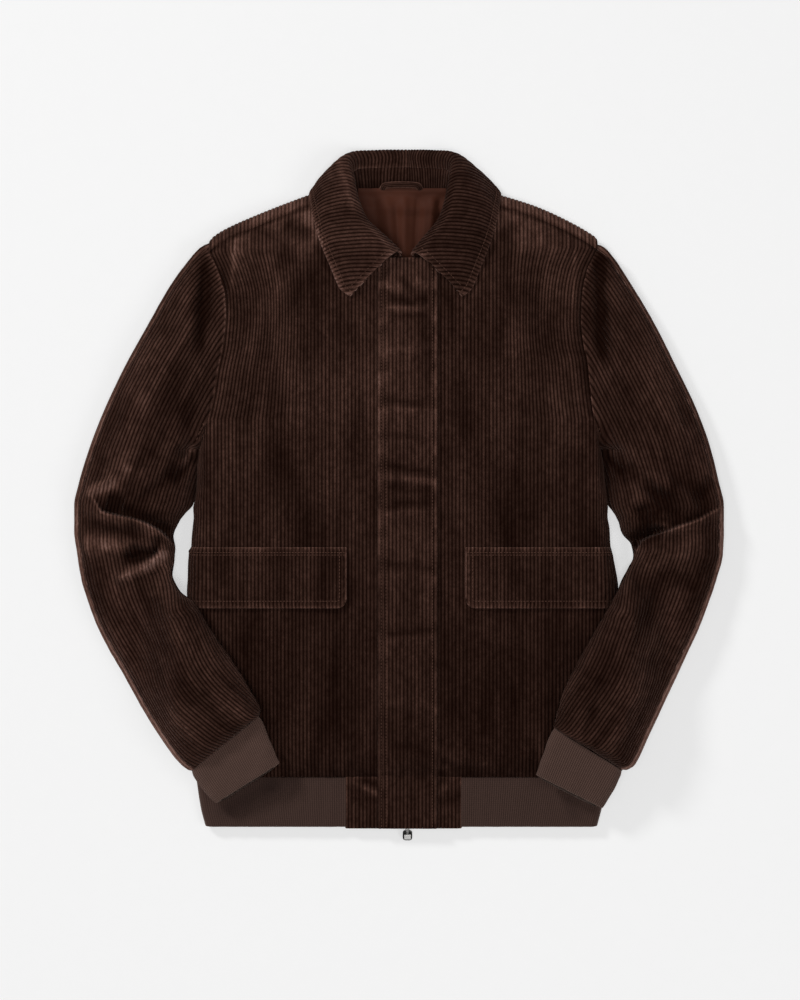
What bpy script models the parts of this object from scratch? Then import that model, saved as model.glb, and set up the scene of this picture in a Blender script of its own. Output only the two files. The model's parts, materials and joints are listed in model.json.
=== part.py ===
"""Corduroy jacket with a collar, knit hem and knit cuffs, closed and laid flat on its back.

All sizes below are millimetres. X = 0 is the centre front, +Y points to the collar and
Z = 0 is the surface the jacket lies on. "right" and "left" are the wearer's: right is -X.
Each cloth piece is an outer face worked out from sections, with a plain inner face one wall
thickness behind it, and a rim that closes the two.
"""

import math

import bmesh
import bpy
import numpy as np

MM = 0.001

# Cloth and seams
CLOTH_WALL = 2.2
LINING_WALL = 1.0
COLLAR_WALL = 3.0
KNIT_WALL = 2.8
FLAP_WALL = 3.2
PLACKET_WALL = 3.0
SEAM_GAP = 0.5
ARMHOLE_GAP = 1.0
LAY_GAP = 0.9

# Body
HEM_SEAM_Y = -298.0
HEM_EDGE_Y = -349.0
ARM_LEVEL_Y = 79.0
UNDERARM_Y = 48.0
EDGE_RISE = 9.0
SIDE_TUCK = 10.0
SHOULDER_ROLL = 45.0
SHOULDER_FORWARD = 13.5
SHOULDER_TUCK = 9.0
CROWN_POWER = 2.3
NECK_RISE = 4.2
CENTRE_GAP = 6.0

SIDES = {"right": -1, "left": 1}


def table(columns, *rows):
    """Short table with named columns."""
    return {name: np.array([row[i] for row in rows], float)
            for i, name in enumerate(columns.split())}


# Half width of the body from the centre front, by height up the body
HALF_WIDTH = {
    "right": table("y half", (-350, 213), (-331, 218), (-298, 223), (-270, 226.5), (-200, 229.5),
                   (-108, 230.5), (-64, 228.5), (-13, 225), (11, 222), (48, 220), (90, 219)),
    "left": table("y half", (-350, 200), (-331, 205), (-298, 213), (-270, 216.5), (-200, 220),
                  (-97, 221), (-62, 215), (-29, 211.5), (-10, 209.5), (25, 206.5), (48, 205), (90, 204)),
}

# Armhole seam, from the underarm up to the shoulder tip
ARMHOLE = {
    "right": table("y x", (48, 220), (54, 216.8), (79, 209.5), (105, 204), (130, 200), (161, 193.7),
                   (188, 191.6), (210, 192.7), (234, 200), (254.6, 209.5)),
    "left": table("y x", (48, 205), (54, 202.5), (79, 196.5), (105, 192.9), (139, 189.5), (160, 185),
                  (182, 183), (210, 184.3), (233, 188.5), (259, 200.5)),
}

# Shoulder line seen from above, and the collar's neck seam on the fronts
SHOULDER = {
    "right": table("x y", (45, 334), (64.5, 330), (105.5, 315.5), (162, 293.5), (196, 277.7),
                   (209.5, 268), (223, 255.7)),
    "left": table("x y", (38, 331), (50.5, 329), (95, 316.6), (131, 305), (168.5, 287.2),
                  (200.5, 267), (212.6, 255.7)),
}
NECK_EDGE = {
    "right": table("x y", (0, 243), (11, 247), (25, 256), (48, 271.5), (61, 295), (64.5, 316)),
    "left": table("x y", (0, 243), (8, 247), (19, 256), (37, 271.5), (47, 295), (50.5, 316)),
}

# Height of the fronts above the table, by height up the body
FRONT_RISE = table("y rise", (-350, 11.5), (-298, 12), (-288, 18), (-274, 23.5), (-250, 26.5),
                   (-200, 28), (-100, 28.5), (79, 28), (330, 27))

# Height at which the forearms and cuffs lie across the body
LAY_RISE = table("y rise", (-350, 15.5), (-330, 17.5), (-300, 23.5), (-275, 27.8), (-250, 30), (-200, 31.4),
                 (-100, 31.9))

# Sleeve rows from the shoulder to the cuff: outer edge, inner edge, thickness, how far the row
# is lifted on to the body. Rows above the underarm reach into the body and stop at the armhole.
SLEEVE = {
    "right": table("outer_x outer_y inner_x inner_y thick lift",
                   (-210.5, 267, -135, 195, 27, 0), (-232.6, 244, -149.6, 180, 31, 0),
                   (-249.4, 221, -162.2, 162.2, 34, 0), (-274.6, 176.9, -182.2, 126.5, 37, 0),
                   (-295.6, 139.1, -202.1, 91.9, 38, 0), (-319.7, 88.7, -222.5, 46.5, 38, 0),
                   (-334.4, 50.9, -225.8, 11, 38, 0), (-346, 13.1, -228.3, -11, 38, 0),
                   (-351.2, -12.1, -239.9, -27.8, 38, 0), (-351.2, -37.3, -246.5, -43.6, 37, 0),
                   (-348.1, -62.5, -244.6, -56.2, 37, 0), (-343.9, -87.7, -246, -68.8, 36, 0.05),
                   (-336.5, -112.9, -248.5, -83, 36, 0.3), (-327.1, -138.1, -238.9, -100.3, 36, 0.75),
                   (-314.5, -163.3, -222.1, -112.9, 36, 1), (-299.8, -188.5, -207.4, -138.1, 35, 1),
                   (-278.8, -226.3, -186.4, -168.5, 34, 1), (-262, -251.5, -169.6, -194.8, 33, 1),
                   (-238.9, -280.9, -152.8, -225.2, 28, 1), (-226.6, -290.7, -154.3, -232.0, 15, 1)),
    "left": table("outer_x outer_y inner_x inner_y thick lift",
                  (200.5, 267, 126.5, 193, 27, 0), (218, 248, 139, 178, 31, 0),
                  (239.9, 214.7, 149.6, 162.2, 34, 0), (262, 176.9, 169.6, 126.5, 37, 0),
                  (280.9, 139.1, 187.4, 91.9, 38, 0), (305, 88.7, 208.2, 46.5, 38, 0),
                  (318.7, 50.9, 211.2, 14.8, 38, 0), (328.1, 13.1, 213.4, -11, 38, 0),
                  (333.4, -12.1, 221, -25.7, 38, 0), (333.4, -37.3, 226.3, -41.5, 37, 0),
                  (332.3, -62.5, 235.7, -53, 37, 0), (326, -87.7, 238, -66.7, 36, 0.05),
                  (317.6, -112.9, 231.5, -79.3, 36, 0.3), (308.2, -138.1, 220.6, -98.2, 36, 0.75),
                  (296.6, -163.3, 206.3, -123.4, 36, 1), (285.1, -188.5, 192.7, -147.5, 35, 1),
                  (267.2, -226.3, 174.8, -180, 34, 1), (254.6, -251.5, 162.8, -205.3, 33, 1),
                  (236.8, -285.1, 151.7, -242, 28, 1), (226.3, -289.8, 152.3, -243.7, 15, 1)),
}
CUFF = {
    "right": table("outer_x outer_y inner_x inner_y thick",
                   (-226.2, -291.3, -153.9, -232.6, 15), (-218, -304.5, -147.5, -248, 14.5),
                   (-209.5, -316, -141, -264, 14), (-202, -323, -134, -279.8, 13)),
    "left": table("outer_x outer_y inner_x inner_y thick",
                  (225.2, -291.4, 151.7, -245.1, 15), (219, -304, 146, -260, 14.5),
                  (212, -317.5, 140.3, -276, 14), (205.2, -328.2, 134.9, -292.4, 13)),
}

# Collar stations from the centre front round to the centre back, on the right side.
# neck is the stand's foot, roll the turned fold, edge the fall's free edge.
COLLAR = table("neck_x neck_y neck_z roll_x roll_y roll_z edge_x edge_y edge_z bulge",
               (5.8, 249.5, 27, 8.9, 254.6, 40, 60.4, 208.4, 32.6, 2),
               (13, 254, 26, 17.8, 263.5, 42, 65.5, 211.5, 32.6, 3),
               (22, 260, 26, 27, 272.5, 43, 70.5, 216, 32.6, 3),
               (42, 275, 25.5, 45.7, 291.4, 43, 82, 242, 32.4, 3.5),
               (55, 298, 25, 54.1, 315.5, 41.5, 93, 269.3, 32, 4),
               (59, 315, 21, 58.6, 335.5, 38, 100.3, 296.6, 30, 4.5),
               (56, 320.5, 15, 62.5, 351.2, 30, 104, 317, 17, 3.5),
               (49, 321, 10, 57, 360.5, 18, 93, 325.5, 5.5, 1.5),
               (42, 320.5, 8.6, 49, 362.5, 11.5, 74, 320, 0, 2),
               (34, 320, 7.8, 38, 363.2, 8, 52, 312, 0, 0),
               (17, 319.6, 7.2, 18, 364, 6, 25, 309, 0, 0),
               (0, 319.5, 7, 0, 364, 5.5, 0, 308, 0, 0))
COLLAR_FOLD = 4.6
ROLL_SHARE = {"right": 1.0, "left": 0.78}
EDGE_SHARE = {"right": 1.0, "left": 0.95}

# Pockets, placket, hem
FLAP_TOP_Y = -56.5
FLAP_LOW_Y = -118.0
FLAP_INNER = {"right": 65.0, "left": 62.0}
FLAP_CORNER = 9.0
PLACKET_HALF = 30.0
PLACKET_TOP_Y = 247.0
PLACKET_LOW_Y = -350.5
TAB_EDGE = {"right": 64.6, "left": 56.2}
HEM_TOP_RISE = 12.0

# Knit ribs of the hem and cuffs
RIB_PITCH = 2.4
RIB_DEPTH = 0.5

# Soft folds: line start, line end, half width, height (negative is a trough)
FRONT_FOLDS = {
    "right": table("x0 y0 x1 y1 width rise",
                   (181, 238, 190, 165, 9, 3.2), (150, 262, 172, 170, 14, -1.6),
                   (70, 250, 120, 120, 22, 1.6), (186, 110, 176, 20, 14, 2.0),
                   (90, -150, 100, -265, 16, 1.4), (160, -140, 150, -262, 18, 1.8),
                   (48, 60, 52, -40, 14, -1.2)),
    "left": table("x0 y0 x1 y1 width rise",
                  (172, 228, 176, 170, 12, 2.4), (140, 262, 150, 180, 16, -1.6),
                  (60, 250, 96, 130, 20, 1.6), (180, 140, 150, 20, 13, 2.2),
                  (84, -150, 92, -262, 16, 1.4), (150, -150, 142, -262, 18, 1.6),
                  (110, 60, 100, -30, 16, -1.2)),
}
SLEEVE_FOLDS = {
    "right": table("x0 y0 x1 y1 width rise",
                   (-326, -14, -256, -40, 7, 6.5), (-330, 3, -268, -16, 9, -9.0),
                   (-338, -44, -280, -47, 10, 4.5), (-300, -62, -266, -66, 9, -6.0),
                   (-296, -84, -256, -66, 9, 7.0), (-205, 228, -214, 110, 9, -3.0),
                   (-262, 150, -300, 60, 14, 2.0), (-240, 120, -262, 30, 12, -2.0)),
    "left": table("x0 y0 x1 y1 width rise",
                  (330, -16, 262, -42, 7, 6.5), (322, 0, 250, -18, 9, -9.0),
                  (322, -46, 270, -54, 10, 4.0), (300, -66, 258, -70, 9, -5.0),
                  (292, -90, 246, -72, 9, 6.0), (203, 232, 204, 120, 7, -4.5),
                  (250, 150, 286, 60, 14, 2.0), (226, 120, 246, 30, 12, -2.0)),
}

# Zip at the centre front
ZIP_HALF = 3.0
TAPE_HALF = 14.0
TAPE_WALL = 1.0
ZIP_WALL = 2.0
PULL_AXIS = (0.0, -353.4, 8.2)
PULL_LENGTH = 12.4
PULL_DROP = 7.5
PULL_WALL = 1.4

# Rows, columns and rings of the cloth grids.
ROLL_SHARES = (0.1, 0.22, 0.34, 0.46, 0.58, 0.7, 0.82)
LOW_ROWS = (HEM_SEAM_Y + SEAM_GAP / 2, -291.0, -284.0, -275.0, -258.0, -230.0, -195.0, -160.0, FLAP_LOW_Y,
            -87.0, FLAP_TOP_Y, -35.0, -10.0, 15.0, 45.0, ARM_LEVEL_Y)
TOP_STEPS = 13
GUIDE = 4.0
BACK_LOW_ROWS = (LOW_ROWS[0], -230.0, FLAP_LOW_Y, -10.0, ARM_LEVEL_Y)
WRAP_SHARES = (0.12, 0.24, 0.36, 0.5, 0.62, 0.75, 0.87, 1.0, 1.2)
UNDERARM_ROW = 5.0
SLEEVE_TOP_ACROSS = (0.045, 0.1, 0.19, 0.3, 0.42, 0.54, 0.66, 0.77, 0.87, 0.94, 0.98)
SLEEVE_UNDER_ACROSS = (0.96, 0.86, 0.7, 0.5, 0.3, 0.14, 0.04)
SLEEVE_HEAD_STEPS = 5
SLEEVE_ROWS = (5.75, 6.4, 7.0, 7.4, 7.75, 8.1, 8.45, 8.8, 9.15, 9.5, 9.85, 10.2, 10.6, 11.1, 12.0, 13.0, 14.0,
               15.5, 17.0, 18.3, 19.0)
SEAM_SHARE = 0.004
CUFF_RINGS = (0.0, 1.5, 3.0)
CUFF_OUTLINE = 241
COLLAR_COUNT = 16
FALL_SHARES = (0.64, 0.8, 1.0, 1.25, 1.5, 1.75, 2.0, 2.35, 2.7, 3.05, 3.4, 3.7, 4.0)
STAND_SHARES = (0.0, 0.2, 0.4, 0.6)
SLIDER_LOW = (-4.8, -352.4, 7.0)
SLIDER_HIGH = (4.8, -342.6, 12.2)
HEM_ROWS = (-298.2, -331.0, -349.0)
HEM_ROUND = 6.0
LINING_ROWS = (205.0, 230.0, 255.0, 280.0, 300.0, 312.0, 318.0)

# Lining, hanger loop and zip pull.
LINING_HALF = 92.0
LINING_NECK_HALF = 52.0
LINING_PUFF = 2.6
LINING_GAP = 0.6
LOOP_START_X = -30.0
LOOP_LENGTH = 48.0
LOOP_Y = 319.5
LOOP_INSETS = (0.0, 4.0, 8.0)
LOOP_RISE = 8.6
LOOP_SLOPE = 0.2
LOOP_ARCH = 1.4
LOOP_BOW = 1.5
LOOP_WALL = 1.4
ZIP_LOW_Y = HEM_EDGE_Y + 7.0
ZIP_TOP_Y = 241.0
PULL_HALF_OUTLINE = table("x along", (2.2, 0.2), (2.6, -3.0), (4.8, -7.0), (5.2, -10.0), (4.0, -12.6),
                          (1.6, -13.6))

COLOURS = {
    "corduroy": ((0.030, 0.014, 0.009), 0.95, 0.0),
    "knit": ((0.058, 0.032, 0.025), 0.95, 0.0),
    "lining": ((0.062, 0.018, 0.010), 0.6, 0.0),
    "tape": ((0.02, 0.012, 0.010), 0.9, 0.0),
    "metal": ((0.35, 0.34, 0.33), 0.35, 1.0),
}


# ---------------------------------------------------------------- numbers

def smooth(t):
    """Soft step from 0 to 1."""
    t = np.clip(t, 0.0, 1.0)
    return t * t * (3.0 - 2.0 * t)


def read(at, xs, ys):
    """Smooth curve through a table's points that never overshoots them."""
    step = np.diff(xs)
    slope = np.diff(ys) / step
    tangent = np.zeros(len(xs))
    tangent[0], tangent[-1] = slope[0], slope[-1]
    same_way = slope[:-1] * slope[1:] > 0
    mean = 2 * slope[:-1] * slope[1:] / np.where(same_way, slope[:-1] + slope[1:], 1.0)
    tangent[1:-1] = np.where(same_way, mean, 0.0)
    at = np.clip(np.asarray(at, float), xs[0], xs[-1])
    i = np.clip(np.searchsorted(xs, at, side="right") - 1, 0, len(xs) - 2)
    t = (at - xs[i]) / step[i]
    a, b = ys[i], ys[i + 1]
    ta, tb = tangent[i] * step[i], tangent[i + 1] * step[i]
    return (a * (1 + 2 * t) * (1 - t) ** 2 + ta * t * (1 - t) ** 2
            + b * t * t * (3 - 2 * t) - tb * t * t * (1 - t))


def crown(share, power=CROWN_POWER):
    """Rounded edge: 0 at share 0 with an upright tangent, 1 and level from share 1 on."""
    share = np.clip(share, 0.0, 1.0)
    return (1.0 - (1.0 - share) ** power) ** (1.0 / power)


def folds(x, y, rows):
    """Height of the soft folds at a place, each fading out at its ends and sides."""
    total = np.zeros(np.broadcast(x, y).shape)
    for x0, y0, x1, y1, width, rise in zip(*rows.values()):
        along_x, along_y = x1 - x0, y1 - y0
        length = math.hypot(along_x, along_y)
        share = ((x - x0) * along_x + (y - y0) * along_y) / length ** 2
        away = ((x - x0) * along_y - (y - y0) * along_x) / length
        ends = smooth((share + 0.25) / 0.35) * smooth((1.25 - share) / 0.35)
        total = total + rise * ends * np.exp(-(away / width) ** 2)
    return total


# ---------------------------------------------------------------- the body's shape

def half_width(side, y):
    return read(y, HALF_WIDTH[side]["y"], HALF_WIDTH[side]["half"])


def arm_edge(side, y):
    return read(y, ARMHOLE[side]["y"], ARMHOLE[side]["x"])


def arm_column(side):
    """Distance of the side seam, and of the armhole's lower end, from the centre front."""
    return float(arm_edge(side, ARM_LEVEL_Y))


def shoulder_line(side, x):
    return read(x, SHOULDER[side]["x"], SHOULDER[side]["y"])


def body_rise(side, x, y):
    """Height of the fronts' outer face, x being the distance from the centre front."""
    top = read(y, FRONT_RISE["y"], FRONT_RISE["rise"])
    column = arm_column(side)
    width = half_width(side, y)
    side_share = np.where(x <= column, 1.0, (width - x) / np.maximum(width - column, 1.0))
    shoulder_share = (shoulder_line(side, x) - y) * 0.92 / SHOULDER_ROLL
    level = EDGE_RISE + (top - EDGE_RISE) * np.minimum(crown(side_share), crown(shoulder_share))
    calm = smooth((column - x) / 20.0) * smooth((shoulder_line(side, x) - y - 14.0) / 20.0)
    calm = calm * smooth((y - HEM_SEAM_Y) / 20.0) * smooth((x - PLACKET_HALF) / 12.0)
    flap = smooth((y - FLAP_TOP_Y - 8) / 14.0) + smooth((FLAP_LOW_Y - 8 - y) / 14.0)
    return level + folds(x, y, FRONT_FOLDS[side]) * calm * np.clip(flap, 0, 1)


def bent(side, column, y):
    """The cloth's columns lean with the armhole above the underarm."""
    limit = arm_column(side)
    lean = np.where(y > ARM_LEVEL_Y, limit - arm_edge(side, y), 0.0)
    return column - lean * smooth((column / limit - 0.45) / 0.55)


def side_roll(side, y, share):
    """Outer face from the armhole's column over the side and under to the side seam."""
    column = arm_column(side)
    width = half_width(side, y)
    reach = width - column
    tuck = np.minimum(SIDE_TUCK, reach * 0.8)
    top = body_rise(side, np.full_like(y, column), y)
    turn = np.linspace(0, math.pi / 2, 13)
    lobe = 2.0 / CROWN_POWER
    points = []
    for angle in turn:
        x = column + reach * math.sin(angle) ** lobe
        points.append((x, EDGE_RISE + (top - EDGE_RISE) * math.cos(angle) ** lobe))
    for angle in turn[1:]:
        points.append((width - tuck * (1 - math.cos(angle)), EDGE_RISE * (1 - math.sin(angle))))
    points.append((column + np.zeros_like(y), np.zeros_like(y)))
    path = np.array([(x, z + 0 * x) for x, z in points])
    steps = np.hypot(np.diff(path[:, 0], axis=0), np.diff(path[:, 1], axis=0))
    run = np.vstack([np.zeros_like(y), np.cumsum(steps, axis=0)])
    x = np.array([np.interp(s * run[-1, i], run[:, i], path[:, 0, i]) for i, s in enumerate(share)])
    z = np.array([np.interp(s * run[-1, i], run[:, i], path[:, 1, i]) for i, s in enumerate(share)])
    return x, z


def scoop(side, x):
    """Where the armhole crosses the side roll, by distance from the centre front."""
    rows = ARMHOLE[side]
    low = rows["y"] <= ARM_LEVEL_Y
    return np.interp(x, rows["x"][low][::-1], rows["y"][low][::-1])


# ---------------------------------------------------------------- meshes

def grid_faces(rows, columns, keep=None):
    """Faces of a grid of points, leaving out the cells that keep marks as False."""
    faces = []
    for r in range(rows - 1):
        for c in range(columns - 1):
            if keep is None or keep[r][c]:
                a = r * columns + c
                faces.append((a, a + 1, a + columns + 1, a + columns))
    return faces


def ring_faces(rows, columns):
    """Faces of a tube whose rows close on themselves."""
    return [(r * columns + c, r * columns + (c + 1) % columns,
             (r + 1) * columns + (c + 1) % columns, (r + 1) * columns + c)
            for r in range(rows - 1) for c in range(columns)]


def point_normals(points, faces):
    """Unit normal at each point, from the faces round it."""
    quads = np.array(faces)
    corners = points[quads]
    normal = np.cross(corners[:, 2] - corners[:, 0], corners[:, 3] - corners[:, 1])
    total = np.zeros_like(points)
    for k in range(4):
        np.add.at(total, quads[:, k], normal)
    size = np.linalg.norm(total, axis=1, keepdims=True)
    return total / np.where(size > 0, size, 1.0)


def rims(faces):
    """Loops of points round the open edges, in the faces' own direction."""
    edges = {(f[i], f[(i + 1) % len(f)]) for f in faces for i in range(len(f))}
    follow = {a: b for a, b in edges if (b, a) not in edges}
    loops = []
    while follow:
        start, point = next(iter(follow.items()))
        loop = [start]
        del follow[start]
        while point != start:
            loop.append(point)
            point = follow.pop(point)
        loops.append(loop)
    return loops


def material(name):
    colour, roughness, metallic = COLOURS[name]
    found = bpy.data.materials.get(name)
    if found:
        return found
    made = bpy.data.materials.new(name)
    made.use_nodes = True
    shader = made.node_tree.nodes["Principled BSDF"]
    shader.inputs["Base Color"].default_value = (*colour, 1.0)
    shader.inputs["Roughness"].default_value = roughness
    shader.inputs["Metallic"].default_value = metallic
    return made


def new_object(name, points, faces, finish):
    """Object in the jacket's collection from points in millimetres."""
    mesh = bpy.data.meshes.new(name)
    mesh.from_pydata((np.asarray(points) * MM).tolist(), [], faces)
    mesh.materials.append(material(finish))
    mesh.shade_smooth()
    made = bpy.data.objects.new(name, mesh)
    bpy.data.collections["Corduroy jacket"].objects.link(made)
    return made


def moved_in(points, faces, thickness):
    """Inner face of a wall; what rests on the table stays upright over its outer face."""
    resting = points[:, 2:] < 0.01
    inner = points - point_normals(points, faces) * thickness
    return np.where(resting, points + np.array([0, 0, thickness]), inner)


def wall(name, outer, faces, thickness, finish="corduroy", inner=None):
    """Cloth piece: the outer face, the inner face behind it, and the rim between."""
    outer = np.asarray(outer, float)
    used = sorted({i for f in faces for i in f})
    number = {old: new for new, old in enumerate(used)}
    if inner is None:
        inner = moved_in(outer, faces, thickness)
    faces = [tuple(number[i] for i in f) for f in faces]
    count = len(used)
    closed = faces + [tuple(i + count for i in reversed(f)) for f in faces]
    for loop in rims(faces):
        for a, b in zip(loop, loop[1:] + loop[:1]):
            closed.append((b, a, a + count, b + count))
    return new_object(name, np.vstack([outer[used], inner[used]]), closed, finish)


def flip(faces):
    return [tuple(reversed(f)) for f in faces]


def facing(side, faces):
    """Faces drawn on the left side, turned round for its mirror."""
    return faces if side == "left" else flip(faces)


def place(side, x, y, z):
    """Points from distances to the centre front, heights up the body and rises."""
    return np.stack([SIDES[side] * x, y + 0 * x, z + 0 * x], axis=-1).reshape(-1, 3)


# ---------------------------------------------------------------- fronts and back

def front_columns(side):
    """Distances from the centre front of the columns on top, edges of what lies there included."""
    column = arm_column(side)
    inner = FLAP_INNER[side]
    marks = [CENTRE_GAP, 16.0, PLACKET_HALF, 47.0, 56.0, inner, 84.0, 104.0, 124.0, 143.0, 160.0, 174.0]
    return [m for m in marks if m < column - 12] + [column - 8.0, column - SEAM_GAP / 2]


def front_surface(side, columns, roll_shares, low_rows, top_steps):
    """Grid of a front: rows up to the armhole, then rows up to the neck and shoulder seams.

    One more row past those seams guides the cloth's direction there and isn't kept.
    """
    column = arm_column(side)
    end = 1.0 - 0.5 * SEAM_GAP / 30.0
    shares = np.array([*roll_shares, end])
    top_x = np.array(columns)
    rows = []
    for y in low_rows:
        z = body_rise(side, top_x, np.full_like(top_x, y))
        part = (y - low_rows[0]) / (low_rows[-1] - low_rows[0])
        level = np.full_like(shares, y)
        if part > 0.7:
            x_here, _ = side_roll(side, np.full_like(shares, 60.0), shares)
            limit = scoop(side, x_here) - SEAM_GAP / 2
            start = low_rows[0] + 0.7 * (low_rows[-1] - low_rows[0])
            level = start + (limit - start) * (y - start) / (low_rows[-1] - start)
        x_roll, z_roll = side_roll(side, level, shares)
        xs, ys, zs = (np.concatenate(pair) for pair in
                      ((top_x, x_roll), (np.full_like(top_x, y), level), (z, z_roll)))
        rows.append(place(side, xs, ys, zs))
    neck_end = NECK_EDGE[side]["x"][-1]
    neck = read(top_x, NECK_EDGE[side]["x"], NECK_EDGE[side]["y"])
    seam = shoulder_line(side, top_x) - SHOULDER_FORWARD
    top_y = np.where(top_x < neck_end, neck, seam) - SEAM_GAP / 2
    for step in range(1, top_steps + 2):
        y = ARM_LEVEL_Y + (top_y - ARM_LEVEL_Y) * min(step / top_steps, 1.0) + GUIDE * (step > top_steps)
        x = bent(side, top_x, y)
        z = body_rise(side, x, y)
        rest = np.full(len(shares), 0.0)
        rows.append(place(side, np.concatenate([x, column + rest]), np.concatenate([y, y[-1] + rest]),
                          np.concatenate([z, rest])))
    total = len(columns) + len(shares)
    every = [[r < len(low_rows) - 1 or c < len(columns) - 1 for c in range(total - 1)]
             for r in range(len(rows) - 1)]
    keep = every[:-1] + [[False] * (total - 1)]
    return np.vstack(rows), grid_faces(len(rows), total, every), grid_faces(len(rows), total, keep)


def make_front(side):
    points, every, kept = front_surface(side, front_columns(side), ROLL_SHARES, LOW_ROWS, TOP_STEPS)
    inner = moved_in(points, facing(side, every), CLOTH_WALL)
    wall("front_" + side, points, facing(side, kept), CLOTH_WALL, inner=inner)


def back_floor(side, x, y):
    """Underside of the back: on the table, but raised over the collar's turned-down fall."""
    near_neck = smooth((y - 291.0) / 13.0)
    inside = 1.0 - smooth((x - 96.0 * EDGE_SHARE[side]) / 16.0)
    return NECK_RISE * near_neck * inside


def shoulder_roll(side, x, share):
    """Outer face of the back from its underside (share 0) over the shoulder to the seam (share 1)."""
    line = shoulder_line(side, x)
    floor = back_floor(side, x, line - SHOULDER_TUCK)
    top = read(line, FRONT_RISE["y"], FRONT_RISE["rise"])
    turn = np.linspace(0, math.pi / 2, 9)
    ys = [line - SHOULDER_TUCK + SHOULDER_TUCK * math.sin(a) for a in turn]
    zs = [EDGE_RISE + (floor - EDGE_RISE) * math.cos(a) for a in turn]
    for inset in (*np.linspace(0, SHOULDER_FORWARD - SEAM_GAP / 2, 13)[1:], SHOULDER_FORWARD + GUIDE):
        ys.append(line - inset)
        zs.append(EDGE_RISE + (top - EDGE_RISE) * crown(inset * 0.92 / SHOULDER_ROLL))
    ys, zs = np.array(ys), np.array([z + 0 * x for z in zs])
    steps = np.hypot(np.diff(ys, axis=0), np.diff(zs, axis=0))
    run = np.vstack([np.zeros_like(x), np.cumsum(steps, axis=0)])
    y = np.array([np.interp(share * run[-2, i], run[:, i], ys[:, i]) for i in range(len(x))])
    z = np.array([np.interp(share * run[-2, i], run[:, i], zs[:, i]) for i in range(len(x))])
    return y, z


def back_half_columns(side):
    """Columns of the back from the centre to the armhole, with one at the neck's corner."""
    corner = NECK_EDGE[side]["x"][-1]
    return [corner * 0.5, corner] + [c for c in front_columns(side) if c > corner + 2.0]


def make_back():
    """One panel across the back; its shoulders wrap forward to the shoulder seams."""
    left = back_half_columns("left")
    right = back_half_columns("right")
    entries = [("right", c) for c in reversed(right)] + [("right", 0.0)] + [("left", c) for c in left]
    low = BACK_LOW_ROWS
    steps = TOP_STEPS
    columns = []
    for side, c in entries:
        x = np.array([c])
        corner = NECK_EDGE[side]["x"][-1]
        line = shoulder_line(side, x)
        top = line - SHOULDER_TUCK if c >= corner - 0.01 else np.array([319.0])
        strip = [place(side, x, np.array([y]), np.zeros(1)) for y in low]
        for step in range(1, steps + 1):
            y = ARM_LEVEL_Y + (top - ARM_LEVEL_Y) * step / steps
            bent_x = bent(side, x, y)
            strip.append(place(side, bent_x, y, back_floor(side, bent_x, y)))
        for share in WRAP_SHARES:
            y, z = shoulder_roll(side, x, share)
            strip.append(place(side, bent(side, x, y), y, z))
        columns.append(np.vstack(strip))
    rows = len(low) + steps + len(WRAP_SHARES)
    points = np.stack(columns, axis=1).reshape(-1, 3)
    total = len(entries)
    flat_rows = len(low) + steps
    corner_right = len(right) - 2
    corner_left = len(right) + 2
    every = [[r < flat_rows - 1 or c < corner_right or c >= corner_left for c in range(total - 1)]
             for r in range(rows - 1)]
    keep = every[:-1] + [[False] * (total - 1)]
    inner = moved_in(points, flip(grid_faces(rows, total, every)), CLOTH_WALL)
    wall("back", points, flip(grid_faces(rows, total, keep)), CLOTH_WALL, inner=inner)


# ---------------------------------------------------------------- sleeves and cuffs

def lay_rise(side, x, y):
    """Height that carries whatever lies across the body, eased down past the body's side."""
    eased = read(y, LAY_RISE["y"], LAY_RISE["rise"])
    eased = eased + (LAY_GAP + FLAP_WALL) * smooth((y - FLAP_LOW_Y + 16.0) / 12.0)
    beyond = x - half_width(side, y)
    return eased * (1.0 - smooth((beyond - 2.0) / 55.0))


def sleeve_row(side, at):
    rows = SLEEVE[side]
    index = np.arange(len(rows["thick"]), dtype=float)
    return {name: read(at, index, rows[name]) for name in rows}


def sleeve_point(side, at, across, top):
    """Point of a sleeve's outer face: at is the row, across runs from the outer edge to the inner."""
    row = sleeve_row(side, at)
    x = row["outer_x"] + (row["inner_x"] - row["outer_x"]) * across
    y = row["outer_y"] + (row["inner_y"] - row["outer_y"]) * across
    away = SIDES[side] * x
    bow = 1.0 - np.abs(1.0 - 2.0 * across)
    carried = row["lift"] * lay_rise(side, away, y)
    rise = np.minimum(EDGE_RISE, row["thick"] * 0.45)
    upper = rise + (row["thick"] - rise) * crown(bow)
    seam_x = np.where(y > UNDERARM_Y, arm_edge(side, y), half_width(side, y))
    near = smooth(1.0 - (away - seam_x) / 38.0) * (at < UNDERARM_ROW + 1.0)
    near = near * smooth((UNDERARM_ROW + 1.0 - at) / 1.5)
    upper = upper + (body_rise(side, np.minimum(away, seam_x), y) - upper) * near
    upper = upper + folds(x, y, SLEEVE_FOLDS[side]) * smooth(bow / 0.35) * (1.0 - near)
    lower = rise * (1.0 - crown(bow, 7.0))
    lower = np.where(lower < 0.25, 0.0, lower)
    z = np.where(top, upper, lower) + carried
    return x, y, z


def armhole_start(side, across):
    """Row at which a column of the sleeve leaves the armhole seam."""
    low = np.zeros_like(across)
    high = np.full_like(across, UNDERARM_ROW + 0.6)
    for _ in range(30):
        middle = (low + high) / 2
        row = sleeve_row(side, middle)
        x = SIDES[side] * (row["outer_x"] + (row["inner_x"] - row["outer_x"]) * across)
        y = row["outer_y"] + (row["inner_y"] - row["outer_y"]) * across
        clear = x - arm_edge(side, y) > ARMHOLE_GAP
        clear = clear & ((y > UNDERARM_Y) | (x > half_width(side, y) + ARMHOLE_GAP))
        high = np.where(clear, middle, high)
        low = np.where(clear, low, middle)
    return high


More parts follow.
